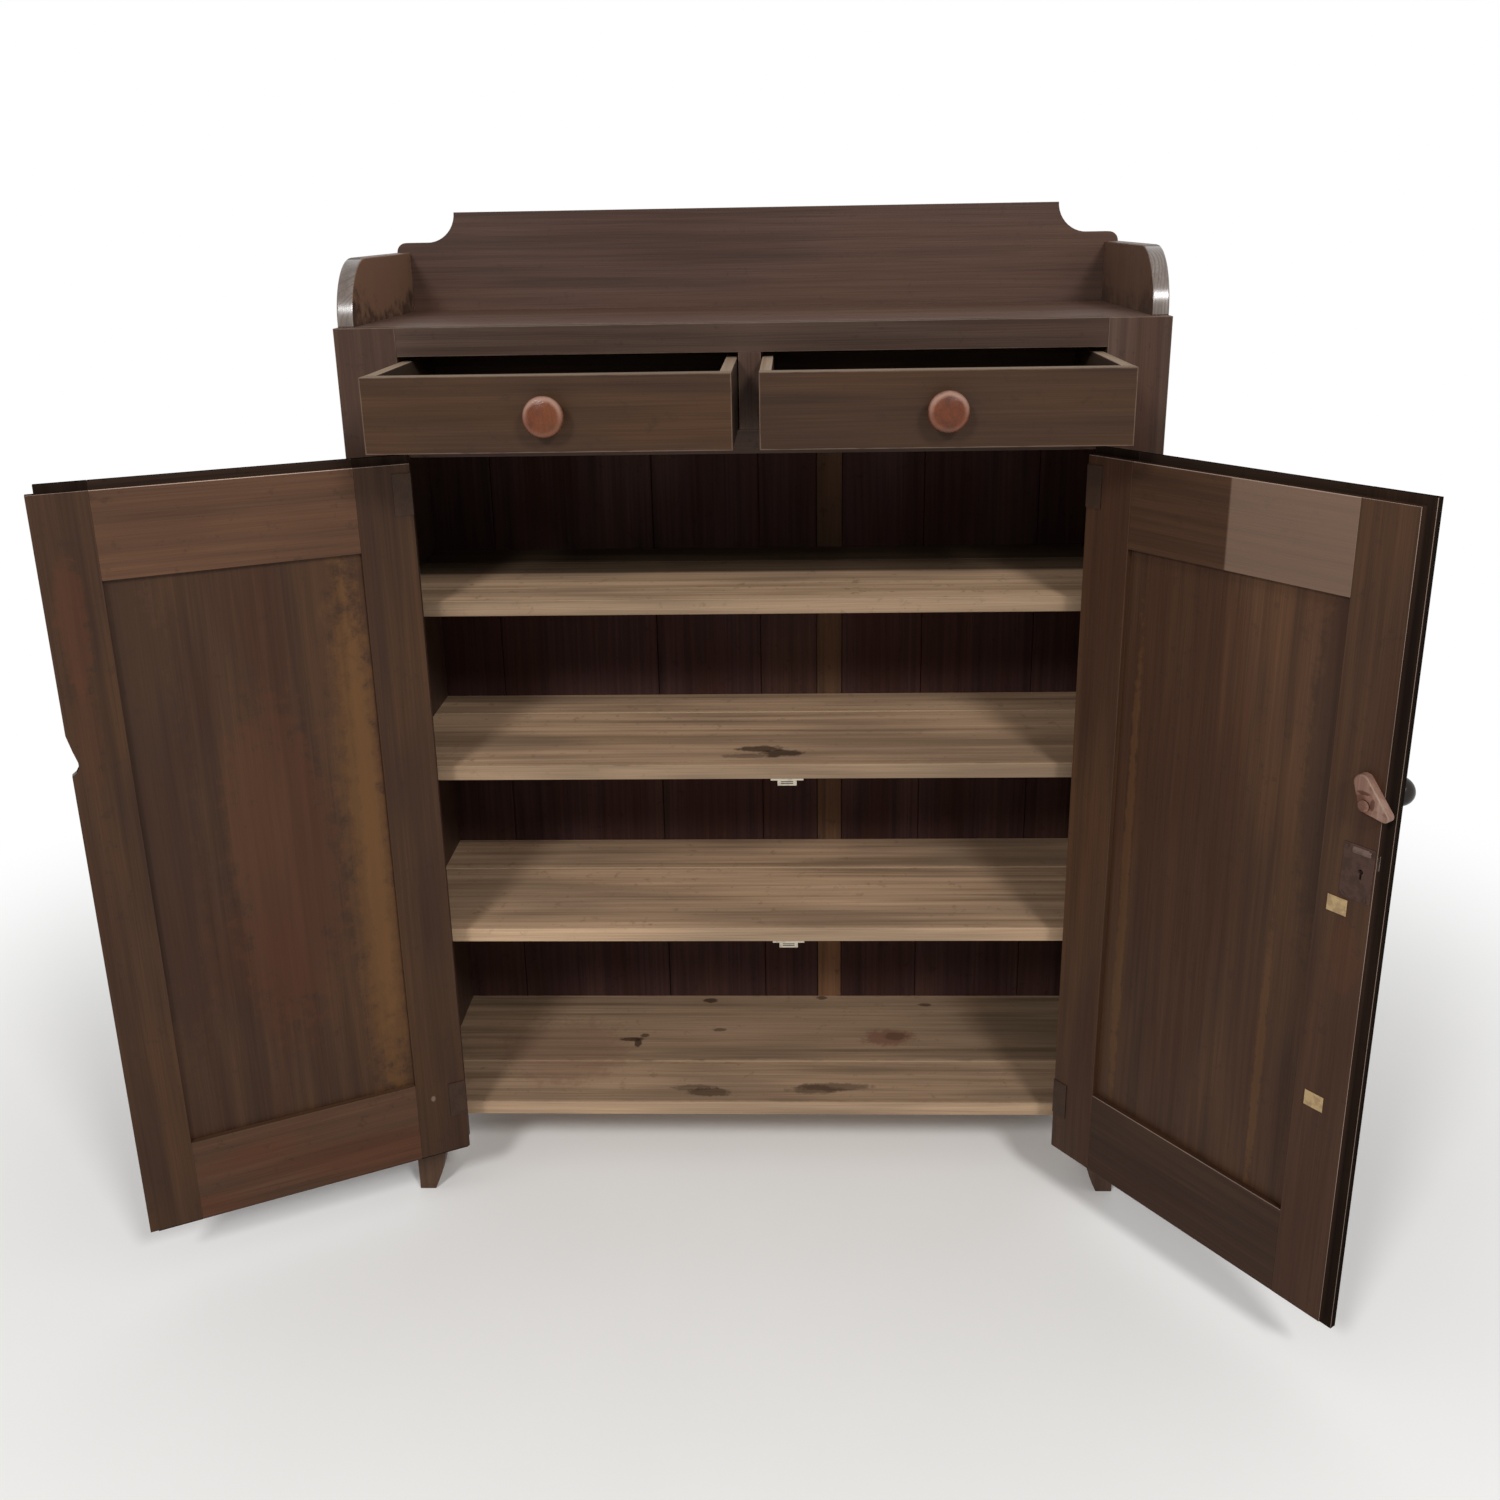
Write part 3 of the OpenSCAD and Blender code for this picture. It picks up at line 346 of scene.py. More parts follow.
def add_marks(web, base, speck, marks):
    """Stains, patches and painted light and shade, each an ellipsoid in the frame that it names, with a
    ragged edge.
    """
    ragged = web.math("MULTIPLY_ADD", speck, 1.6, -0.8) if marks else None
    for frame_of, centre, size, colour, strength in marks:
        mask = web.group("spot", Place=web.place(frame_of), Centre=centre, Size=size, Ragged=ragged)[0]
        base = web.mix(web.times(mask, strength), base, *tints_of(colour))
    return base


def wood(name, light, dark="stain_dark", red="stain_red", worn="worn", ring=0.011, contrast=0.3, streaks=0.5,
         redness=0.5, wear=0.3, wear_width=0.0022, rough=(0.36, 0.5), coat=0.05, shine=0.1, age=0.35,
         marks=(), dress=None):
    """Wood whose grain follows each board's own attributes, with marks at chosen places."""
    material, web, skin = new_material(name)
    light, dark, red, worn = tints_of(light, dark, red, worn)
    place, centre = web.attribute("plank_place"), web.attribute("plank_centre")
    tone, hue, gold = web.split(web.attribute("plank_tone"))
    rings, fibre, streak, patch = web.group("plank grain", Place=place, Ring_Width=ring)
    lines = web.span(streak, 0.42, 0.72, 0, streaks)
    base = web.mix(web.math("MAXIMUM", web.times(rings, contrast), lines), light, dark)
    base = web.mix(web.times(web.span(patch, 0.46, 0.62), web.times(hue, redness)), base, red)
    base = web.mix(web.times(web.span(patch, 0.5, 0.36), gold), base, colours().stain_gold)
    fine = web.span(fibre, 0.25, 0.75, 0.88, 1.12, smooth=False)
    cloud = web.math("MULTIPLY_ADD", streak, 0.5, patch)
    cloud = web.span(cloud, 0.55, 0.95, 1 + age * 0.5, 1 - age * 0.5)
    base = web.brighten(base, web.times(web.times(fine, cloud), tone))
    speck = web.noise(place, 48, detail=3, roughness=0.75)
    base = web.mix(web.span(speck, 0.58, 0.72, 0, age), base, dark)
    gloss = web.span(patch, 0.3, 0.7, *rough)
    if wear:
        rubbed = web.group("worn arris", Centre=centre, Half=web.attribute("plank_half"), Width=wear_width)[0]
        base = web.mix(web.times(rubbed, wear), base, worn)
        gloss = web.math("MULTIPLY_ADD", rubbed, 0.12, gloss)
    if dress:
        base = dress(web, base, speck)
    web.feed_named(skin, Base_Color=add_marks(web, base, speck, marks), Roughness=gloss, Coat_Weight=coat,
                   Coat_Roughness=COAT_ROUGHNESS, Specular_IOR_Level=shine)
    bump(web, skin, fibre, FIBRE_DEPTH)
    return material


def metal(name, colour, tarnish, rough=(0.3, 0.5), metallic=1.0, cover=0.5, shine=0.5):
    """Metal, clean or stained over, with tarnish in patches."""
    material, web, skin = new_material(name)
    where = web.place(CASE)
    cloud = web.noise(where, 70, detail=3, roughness=0.7)
    fine = web.noise(where, 420)
    mask = web.times(web.span(cloud, 0.42, 0.62), cover)
    web.feed_named(skin, Base_Color=web.mix(mask, *tints_of(colour, tarnish)),
                   Metallic=web.math("SUBTRACT", metallic, web.times(mask, metallic * 0.6)),
                   Roughness=web.span(fine, 0.3, 0.7, *rough), Specular_IOR_Level=shine)
    bump(web, skin, fine, METAL_DEPTH)
    return material


def plastic(name, colour, grime):
    """Moulded plastic with grime in patches."""
    material, web, skin = new_material(name)
    where = web.place(CASE)
    cloud = web.noise(where, 90, detail=3, roughness=0.65)
    fine = web.noise(where, 700, detail=1)
    mask = web.span(cloud, 0.45, 0.7, 0, 0.6)
    web.feed_named(skin, Base_Color=web.mix(mask, *tints_of(colour, grime)),
                   Roughness=web.span(fine, 0.3, 0.7, 0.35, 0.5))
    bump(web, skin, fine, PLASTIC_DEPTH)
    return material


# Where the right door's painted reflection starts, from the top rail's middle, and where the inner half
# of a board's thickness begins
REFLECTION_FROM = 0.012
INNER_HALF = (0.002, 0.004)


def reflection_inside(web, through, part):
    """1 on the inner face of the board that carries that part of the painted reflection."""
    return web.times(web.split(web.attribute("plank_reflection"))[part], web.span(through, *INNER_HALF))


def painted_reflection_rail(web, base, speck):
    """Painted reflection: a paler length of the right door's top rail inside, towards its free edge."""
    _, through, along = web.split(web.attribute("plank_centre"))
    mark = reflection_inside(web, through, 0)
    pale = web.times(web.span(along, REFLECTION_FROM, REFLECTION_FROM - 0.004), mark)
    lifted = web.mix(0.5, web.brighten(base, 2.1), colours().rail_reflection)
    return web.mix(pale, base, lifted)


def painted_reflection_panel(web, base, speck):
    """Fainter end of that painted reflection, in the upper part of the right door's panel."""
    across, through, along = web.split(web.attribute("plank_centre"))
    mark = reflection_inside(web, through, 1)
    pale = web.times(web.span(across, REFLECTION_FROM, REFLECTION_FROM - 0.01), mark)
    pale = web.times(pale, web.span(along, 0.02, 0.36, 0, 0.45))
    return web.mix(pale, base, web.brighten(base, 1.9))


def painted_shade_outwards(web, base, speck):
    """Painted shade on a door's edges, darkest towards the outer side of the door."""
    through = web.split(web.attribute("plank_centre"))[1]
    return web.mix(web.span(through, 0.004, -0.008, 0, 0.8), base, NEARLY_BLACK)


def painted_drawer_shadow(web, base, speck):
    """Painted shadow of the pulled-out drawers on the rear half of the upper shelf."""
    _, depth, height = web.split(web.place(CASE))
    dark = web.times(web.span(depth, 0.175, 0.195), web.span(height, 0.9, 0.94))
    return web.mix(dark, base, web.brighten(base, 0.3))


def darker_higher_up(web, base, speck):
    """Darker the higher the shelf is."""
    height = web.split(web.place(CASE))[2]
    return web.brighten(base, web.span(height, 0.1, 0.95, 0.9, 0.38, smooth=False))


def rim_wear_and_highlight(web, base, speck):
    """Rim round the face of a turned knob, rubbed pale, with a painted highlight on its upper half."""
    x, y, _ = web.split(web.vector("DIVIDE", web.attribute("plank_centre"), web.attribute("plank_half")))
    uneven = web.math("MULTIPLY_ADD", speck, 0.2, -0.1)
    away = web.math("ADD", web.radius(x, y), uneven)
    ring = web.times(web.span(away, 0.66, 0.86), web.span(away, 0.9, 1.0, 1, 0.4))
    middle = sum(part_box("left_drawer_knob"), Vector()).z / 2
    height = web.split(web.place(CASE))[2]
    painted_highlight_above = web.span(height, middle - 0.01, middle + 0.018, 0.15, 0.85)
    return web.mix(web.times(ring, painted_highlight_above), base, colours().knob_rim)


def on_shelf(height, rows):
    """Marks on top of a shelf: middle and reach along it and to the rear, colour and strength."""
    return [(CASE, (x, y, height), (wide, deep, 0.012), colour, strength)
            for x, y, wide, deep, colour, strength in rows]


def on_door(frame_of, level, depth, rows):
    """Marks on a face inside a door: middle and reach along it and up it, colour and strength."""
    return [(frame_of, (x, level, z), (wide, depth, high), colour, strength)
            for x, z, wide, high, colour, strength in rows]


# Levels of the inner faces from the hinge axis, with the depth of their marks
STILE_FACE = (0.026, 0.012)
PANEL_FACE = (0.017, 0.006)
LATCH_FACE = (0.038, 0.012)

SHELF_MARKS = on_shelf(0.145, (
    (-0.226, 0.206, 0.02, 0.006, "spot", 0.85), (-0.214, 0.194, 0.006, 0.014, "spot", 0.8),
    (-0.204, 0.218, 0.008, 0.006, "spot", 0.7), (0.21, 0.211, 0.042, 0.024, "spot_red", 0.85),
    (0.222, 0.214, 0.02, 0.012, "spot", 0.4), (-0.085, 0.052, 0.036, 0.011, "spot", 0.6),
    (-0.112, 0.064, 0.034, 0.008, "spot", 0.45), (0.118, 0.067, 0.055, 0.011, "spot", 0.55),
    (0.084, 0.06, 0.038, 0.011, "spot", 0.5), (-0.077, 0.236, 0.012, 0.005, "spot", 0.6),
    (-0.1, 0.332, 0.014, 0.007, "spot", 0.8), (0.1, 0.342, 0.01, 0.006, "spot", 0.7),
    (0.28, 0.318, 0.012, 0.005, "spot", 0.7), (-0.33, 0.17, 0.1, 0.09, "spot_red", 0.35),
)) + on_shelf(0.716, (
    (0.004, 0.09, 0.034, 0.013, "spot", 0.8), (0.033, 0.072, 0.03, 0.014, "spot", 0.8),
    (-0.016, 0.061, 0.034, 0.008, "spot", 0.5),
))
# Painted light on the inner faces of the ears, stronger on the left ear
EAR_PAINTED_LIGHT = [(CASE, (x, 0.19, 1.425), (0.004, 0.2, 0.075), "ear_wood", strength)
              for x, strength in ((-0.528, 0.9), (0.528, 0.4))]
STILE_MARKS = on_door(LEFT_DOOR, *STILE_FACE, (
    (0.436, 1.0, 0.017, 0.09, "stain_red", 0.4), (0.44, 0.86, 0.016, 0.07, "stain_red", 0.22),
    (0.05, 0.2, 0.0035, 0.0045, "bare_arris", 0.4),
)) + on_door(RIGHT_DOOR, *STILE_FACE, (
    (-0.44, 0.62, 0.02, 0.05, "stain_red", 0.3),
))
PANEL_MARKS = on_door(LEFT_DOOR, *PANEL_FACE, (
    (0.102, 0.6, 0.036, 0.46, "gold_strip", 0.2), (0.1, 0.62, 0.024, 0.4, "gold_strip", 0.28),
    (0.098, 0.64, 0.013, 0.3, "gold_strip", 0.3), (0.22, 0.62, 0.07, 0.24, "stain_red", 0.35),
    (0.375, 0.75, 0.05, 0.36, "stain_dark", 0.4),
)) + on_door(RIGHT_DOOR, *PANEL_FACE, (
    (-0.385, 0.86, 0.028, 0.24, "stain_dark", 0.5), (-0.1, 0.55, 0.007, 0.36, "gold_strip", 0.25),
    (-0.335, 0.4, 0.006, 0.2, "gold_strip", 0.25),
))
# Marks on the latch's pointer: a reddish hub with a darker middle, a dark crack above it, a painted shadow in
# the wedge beside the hub, and a painted highlight on the facet towards the tip
LATCH_MARKS = on_door(RIGHT_DOOR, *LATCH_FACE, (
    (-0.4455, 0.822, 0.016, 0.015, "knob", 0.45), (-0.443, 0.822, 0.011, 0.012, "knob_dark", 0.5),
    (-0.4475, 0.8375, 0.0095, 0.0022, "knob_dark", 0.75), (-0.459, 0.826, 0.0035, 0.009, "knob_dark", 0.75),
    (-0.469, 0.824, 0.0045, 0.016, "bare_arris", 0.4),
))

# For each finish its kind, its colours and what differs from the kind's usual settings
FINISHES = {
    "stained_case": (wood, "stain_light", dict(streaks=0.4, wear=0.35, marks=EAR_PAINTED_LIGHT)),
    "stained_backsplash": (wood, "gallery_light", "gallery_dark", dict(
        ring=0.014, streaks=0.35, redness=0.2, wear=0.2)),
    # Polished front edge of the ears, rubbed pale, its pale grey a painted reflection
    "ear_edge": (wood, "ear_edge", "stain_light", "worn", dict(
        ring=0.004, contrast=0.6, wear=0.2, rough=(0.16, 0.3), coat=0.8)),
    "stained_door": (wood, "door_light", dict(
        streaks=0.4, redness=0.6, wear=0.04, marks=STILE_MARKS, dress=painted_reflection_rail)),
    "stained_panel": (wood, "door_light", dict(
        ring=0.018, contrast=0.22, streaks=0.38, redness=0.8, wear=0, marks=PANEL_MARKS, dress=painted_reflection_panel)),
    # Tops and free edges of the doors, which years of dust and varnish have darkened, with painted shade in
    # their rebates and towards their outer side
    "dirty_edge": (wood, "dirt_light", "dirt", "dirt", dict(
        wear=0, rough=(0.6, 0.8), coat=0, shine=0, dress=painted_shade_outwards)),
    # Arrises of the doors that rub against the case and each other
    "bare_arris": (wood, "bare_arris", "worn", "worn", dict(
        contrast=0.5, streaks=0.7, wear=0, rough=(0.4, 0.55), age=0.5)),
    "stained_drawer_front": (wood, "drawer_light", dict(
        ring=0.009, contrast=0.2, streaks=0.3, redness=0.25, wear=0.32, wear_width=0.0026)),
    "drawer_wood": (wood, "drawer_inside", "stain_dark", "shelf_dark", dict(
        ring=0.008, redness=0.3, rough=(0.55, 0.75), coat=0)),
    "bare_softwood": (wood, "bare_light", "shelf_dark", "shelf_light", dict(
        ring=0.007, redness=0.3, rough=(0.6, 0.8), coat=0)),
    "aged_shelf": (wood, "shelf_light", "shelf_dark", "bare_light", "shelf_edge", dict(
        ring=0.013, streaks=0.6, redness=0.2, rough=(0.5, 0.7), coat=0, age=0.55, wear=0.6, wear_width=0.012,
        marks=SHELF_MARKS, dress=painted_drawer_shadow)),
    # Front edges of the shelves
    "shelf_nose": (wood, "shelf_edge", "shelf_light", "bare_light", "shelf_edge", dict(
        ring=0.009, redness=0.4, rough=(0.45, 0.6), coat=0, age=0.5, dress=darker_higher_up)),
    "dark_back": (wood, "back_light", "back_dark", dict(
        ring=0.012, redness=0.25, rough=(0.6, 0.8), coat=0, wear=0)),
    "filler_wood": (wood, "filler", "back_dark", "stain_light", dict(
        ring=0.012, rough=(0.6, 0.8), coat=0, wear=0.15)),
    # Turned knobs, with a painted highlight on the upper half of their rims
    "knob_wood": (wood, "knob", "knob_dark", dict(
        ring=0.006, redness=0.3, wear=0, rough=(0.2, 0.32), coat=0.12, shine=0.2, age=0.3, dress=rim_wear_and_highlight)),
    "latch_wood": (wood, "latch", "knob_dark", "knob", "knob_rim", dict(
        ring=0.006, contrast=0.15, streaks=0.3, redness=0.3, wear_width=0.003, rough=(0.3, 0.45),
        marks=LATCH_MARKS)),
    # The latch's outside knob, nearly black
    "latch_knob_wood": (wood, "dirt", "dirt", "dirt", dict(
        ring=0.006, wear=0, rough=(0.15, 0.3), coat=0.35)),
    "painted_lock": (metal, "lock", "stain_dark", dict(rough=(0.4, 0.6), metallic=0, shine=0.15)),
    # Rib of the lock case, rubbed, with a painted highlight
    "rubbed_lock": (metal, "lock_rubbed", "lock", dict(rough=(0.35, 0.5), metallic=0.1, shine=0.2)),
    "painted_iron": (metal, "iron", "stain_dark", dict(rough=(0.4, 0.6), metallic=0, shine=0.15)),
    "bolt_steel": (metal, "steel", "lock", {}),
    "plate_brass": (metal, "brass", "brass_dull", dict(metallic=0.6, cover=0.7)),
    "off_white_plastic": (plastic, "plastic", "plastic_dull", {}),
}


def finish(name):
    """The material of that slot, made when it is first asked for."""
    kind, *tints, settings = FINISHES[name]
    return bpy.data.materials.get(name + "_finish") or kind(name, *tints, **settings)


# Lightness, redness and yellowness of the boards that differ from the rest
TONES = {
    "left_door_top_rail": (1.5, 0.05, 0), "left_door_bottom_rail": (1.2, 0.9, 0),
    "left_door_panel": (0.8, 0.45, 0.15), "left_door_meeting_stile": (0.76, 0.4, 0.2),
    "left_door_hinge_stile": (0.72, 0.3, 0.2), "right_door_top_rail": (0.85, 0.3, 0.1),
    "right_door_panel": (0.85, 0.3, 0.15), "right_door_hinge_stile": (0.85, 0.4, 0.1),
    "right_door_meeting_stile": (0.92, 0.4, 0.1), "right_door_bottom_rail": (0.6, 0.4, 0.1),
    "left_drawer_front": (0.68, 0.4, 0.25), "right_drawer_front": (0.68, 0.1, 0.15),
    "top_board": (1.5, 0.5, 0.2), "top_rail": (0.85, 0.3, 0),
    "bottom_shelf_rear": (0.74, 0.5, 0), "bottom_shelf_front": (0.9, 0.5, 0),
    "lower_shelf_rear": (1.05, 0.5, 0), "lower_shelf_front": (1.15, 0.5, 0),
    "middle_shelf_rear": (1.05, 0.5, 0), "middle_shelf_front": (1.15, 0.5, 0),
    "upper_shelf_front": (1.35, 0.5, 0), "upper_shelf_rear": (0.9, 0.3, 0),
}
# Points nearer than this, in metres, are one, and faces at less than this angle are flat
SAME_POINT = 1e-5
FLAT_UP_TO = math.radians(1)
# Edges at a smaller angle are smooth, and convex ones at a larger angle are arrises
SMOOTH_UP_TO, RIB_SMOOTH_UP_TO, NAIL_SMOOTH_UP_TO = (math.radians(d) for d in (14, 40, 60))
ARRIS_FROM = math.radians(40)
# Turns a small fitting, made to face along z, so that it faces along y
FACING_IN = Matrix.Rotation(-math.pi / 2, 4, "X")


def put(name, data):
    """A new object in the scene."""
    item = bpy.data.objects.new(name, data)
    bpy.context.scene.collection.objects.link(item)
    return item


def add_piece(name, mesh, body, materials, replaced=()):
    """A finished mesh that rides on its body."""
    piece = put(name, mesh)
    for material in materials:
        mesh.materials.append(finish(material))
    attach(piece, body)
    if replaced:
        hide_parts(*replaced)


def points_in(mesh, frame_of):
    """A mesh's points, in the frame given."""
    back = frame_of.inverted()
    return [back @ vertex.co for vertex in mesh.vertices]


def corners(points):
    """Lowest and highest corner of the box round the points."""
    return (Vector([min(p[i] for p in points) for i in range(3)]),
            Vector([max(p[i] for p in points) for i in range(3)]))


def local_box(node, frame_of):
    """Lowest and highest corner of a node, in the frame given."""
    return corners(points_in(NODES[node].data, frame_of))


def write_attribute(mesh, name, values):
    layer = mesh.attributes.new(name, "FLOAT_VECTOR", "POINT")
    layer.data.foreach_set("vector", [number for value in values for number in value])


def give_grain(mesh, name, frame_of, grain):
    """Writes where each point lies in its board: round the pith, from its middle, and its half size."""
    chance = random.Random(name)
    points = points_in(mesh, frame_of)
    low, high = corners(points)
    size, middle = high - low, (low + high) / 2
    along = "XYZ".index(grain)
    across, thick = sorted((i for i in range(3) if i != along), key=lambda i: -size[i])
    order = (across, thick, along)
    heart = chance.uniform(-0.45, 0.45) * size[across]
    depth = chance.uniform(0.015, 0.07)
    shift = chance.uniform(0, 30)
    chosen = chance.uniform(0.92, 1.08), chance.uniform(0.3, 0.9), chance.uniform(0, 0.3)
    centred = [tuple((p - middle)[i] for i in order) for p in points]
    write_attribute(mesh, "plank_centre", centred)
    write_attribute(mesh, "plank_place", [(x - heart, y + depth, z + shift) for x, y, z in centred])
    reflected = (name == "right_door_top_rail", name == "right_door_panel", 0)
    for label, value in (("plank_half", tuple(size[i] / 2 for i in order)),
                         ("plank_tone", TONES.get(name, chosen)), ("plank_reflection", reflected)):
        write_attribute(mesh, label, [value] * len(points))


def smooth_by_angle(bm, limit=SMOOTH_UP_TO):
    for face in bm.faces:
        face.smooth = True
    for edge in bm.edges:
        edge.smooth = edge.is_manifold and edge.calc_face_angle(0) < limit


def cleaned_copy(node):
    """A node's mesh with its corners merged and its flat faces joined."""
    bm = bmesh.new()
    bm.from_mesh(NODES[node].data)
    bmesh.ops.remove_doubles(bm, verts=bm.verts, dist=SAME_POINT)
    bmesh.ops.dissolve_limit(bm, angle_limit=FLAT_UP_TO, verts=bm.verts, edges=bm.edges, delimit={"NORMAL"})
    return bm


def beside(point, edge, reach):
    """Whether a point lies beside an edge, nearer than the reach, and isn't on it."""
    start, line = edge.verts[0].co, edge.verts[1].co - edge.verts[0].co
    along = (point - start).dot(line) / line.length_squared
    return 0 < along < 1 and SAME_POINT < (point - start - line * along).length < reach


def crowded(edge, reach):
    """Whether an arris is so near to a recess that their roundings would run into each other."""
    for face in edge.link_faces:
        if any(beside(vertex.co, edge, reach) for vertex in face.verts):
            return True
        if any(beside(vertex.co, other, reach) for vertex in edge.verts for other in face.edges):
            return True
    return False


def round_edges(bm, edges, width, segments):
    bmesh.ops.bevel(bm, geom=edges, offset=width, offset_type="OFFSET", segments=segments, profile=0.5,
                    affect="EDGES", clamp_overlap=True, material=-1)


def ease(bm, width, segments=2, shortest=0.002, chosen=None, clear=2.0):
    """Rounds the arrises of a board that are as many widths clear of its recesses."""
    if width <= 0:
        return
    arrises = [edge for edge in bm.edges
               if edge.is_convex and edge.calc_face_angle(0) > ARRIS_FROM
               and edge.calc_length() > shortest and not crowded(edge, width * clear)
               and (chosen is None or chosen(edge))]
    round_edges(bm, arrises, width, segments)


def mesh_of(bm, name):
    """A new mesh from the bmesh, without the normals that the frame's meshes carry."""
    mesh = bpy.data.meshes.new(name)
    bm.to_mesh(mesh)
    bm.free()
    stored = mesh.attributes.get("custom_normal")
    if stored:
        mesh.attributes.remove(stored)
    return mesh


def part_faces(bm, frame_of, others):
    """Gives faces the other finishes, each listed with a test of a face's place and normal in the frame."""
    back = frame_of.inverted()
    for face in bm.faces:
        place, normal = back @ face.calc_center_median(), back.to_3x3() @ face.normal
        for index, (_, test) in enumerate(others, 1):
            if test(place, normal):
                face.material_index = index


def dressed(node, name, body, slot, width, frame_of, others, own=None, grain=None, **rounding):
    """A node with rounded arrises and faces of other finishes, in place of the plain one."""
    bm = cleaned_copy(node)
    ease(bm, width, **rounding)
    smooth_by_angle(bm)
    part_faces(bm, frame_of, others)
    mesh = mesh_of(bm, name)
    if grain:
        give_grain(mesh, node, frame_of, grain)
    add_piece(name, mesh, body, [own or slot] + [other for other, _ in others], [node])


def board(node, body, slot, grain, width=0.0, frame_of=CASE, others=(), own=None, **rounding):
    """A wooden node, with its own grain."""
    dressed(node, node + "_wood", body, slot, width, frame_of, others, own, grain, **rounding)


def plate(node, body, slot, width, frame_of=CASE, others=()):
    """A metal or plastic node."""
    dressed(node, node + "_eased", body, slot, width, frame_of, others, shortest=0.0015)


def solid_boxes(node):
    """Lowest and highest corner of each separate solid of a node."""
    bm = cleaned_copy(node)
    left, boxes = set(bm.verts), []
    while left:
        solid, front = set(), [next(iter(left))]
        while front:
            vertex = front.pop()
            if vertex not in solid:
                solid.add(vertex)
                front += [edge.other_vert(vertex) for edge in vertex.link_edges]
        left -= solid
        boxes.append(corners([vertex.co for vertex in solid]))
    bm.free()
    return sorted(boxes, key=lambda box: tuple(box[0]))


def screw_head():
    """A slotted screw head that faces along z. Its slot is cut as shares of the radius."""
    bm = bmesh.new()
    radius = sizes().screw_radius
    bmesh.ops.create_cone(bm, cap_ends=True, segments=20, radius1=radius, radius2=radius * 0.85,
                          depth=radius * 0.4)
    brink, foot, depth = 0.26, 0.14, 0.3
    for share in (-brink, -foot, foot, brink):
        bmesh.ops.bisect_plane(bm, geom=bm.verts[:] + bm.edges[:] + bm.faces[:], dist=1e-6,
                               plane_co=(share * radius, 0, 0), plane_no=(1, 0, 0))
    for vertex in bm.verts:
        if vertex.co.z > 0 and abs(vertex.co.x) < (brink + foot) / 2 * radius:
            vertex.co.z -= depth * radius
    smooth_by_angle(bm)
    return bm


def nail_head():
    """A low domed nail head that faces along z."""
    bm = bmesh.new()
    bmesh.ops.create_uvsphere(bm, u_segments=12, v_segments=6, radius=sizes().nail_radius)
    bmesh.ops.scale(bm, verts=bm.verts, vec=(1, 1, 0.2))
    smooth_by_angle(bm, NAIL_SMOOTH_UP_TO)
    return bm


def add_copies(name, model, places, body, slot, own=None):
    """One piece of many small fittings, each a copy of the model at one of the places."""
    template = mesh_of(model, name + "_one")
    bm = bmesh.new()
    for place in places:
        start = len(bm.verts)
        bm.from_mesh(template)
        bm.verts.ensure_lookup_table()
        bmesh.ops.transform(bm, verts=bm.verts[start:], matrix=place)
    bpy.data.meshes.remove(template)
    add_piece(name, mesh_of(bm, name), body, [own or slot])


def paint(node, slot):
    """Gives a node that stays as it is its finish."""
    mesh = NODES[node].data
    mesh.materials.clear()
    mesh.materials.append(finish(slot))


# Operators, one for each group of pieces


class SideboardOperator:
    bl_options = {"REGISTER", "UNDO"}


class SIDEBOARD_OT_groups(SideboardOperator, bpy.types.Operator):
    """Makes the shader groups that the materials share"""

    bl_idname = "sideboard.groups"
    bl_label = "Shader groups"

    def execute(self, context):
        grain_group()
        arris_group()
        spot_group()
        return {"FINISHED"}


class SIDEBOARD_OT_case(SideboardOperator, bpy.types.Operator):
    """Dresses the side boards with their ears, the face frame, the top board and the backsplash"""

    bl_idname = "sideboard.case"
    bl_label = "Case"

    def execute(self, context):
        width = sizes().case_ease
        ears_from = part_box("top_board")[1].z + 0.002
        # Front edges of the ears, with their painted reflection
        ear = [("ear_edge", lambda place, normal: abs(normal.x) < 0.7 and normal.y < -0.2
                and place.z > ears_from)]
        for node in ("side_left", "side_right"):
            board(node, "case", "stained_case", "Z", width * 2, others=ear)
        for node in ("stile_left", "stile_right", "drawer_divider"):
            board(node, "case", "stained_case", "Z", width)
        for node in ("top_rail", "middle_rail"):
            board(node, "case", "stained_case", "X", width)
        board("top_board", "case", "stained_case", "X", width,
              others=[("bare_arris", lambda place, normal: normal.y < -0.3 and normal.z > 0.3)])
        board("backsplash", "case", "stained_backsplash", "X", width * 1.5)
        return {"FINISHED"}


class SIDEBOARD_OT_back(SideboardOperator, bpy.types.Operator):
    """Dresses the back boards and nails them to the shelves and below the top board"""

    bl_idname = "sideboard.back"
    bl_label = "Back"

    def execute(self, context):
        board("back_boards", "case", "dark_back", "Z", sizes().back_ease)
        board("back_filler_strip", "case", "filler_wood", "Z", sizes().back_ease)
        levels = [sum(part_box(level + "_shelf_rear"), Vector()).z / 2 for level in SHELF_LEVELS]
        levels.append(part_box("top_board")[0].z - 0.03)
        inset, places = sizes().nail_inset, []
        for low, high in solid_boxes("back_boards"):
            for x in (low.x + inset, high.x - inset):
                places += [Matrix.Translation((x, high.y, z)) @ FACING_IN for z in levels if high.z > z]
        add_copies("back_nails", nail_head(), places, "case", "bolt_steel", "painted_iron")
        return {"FINISHED"}


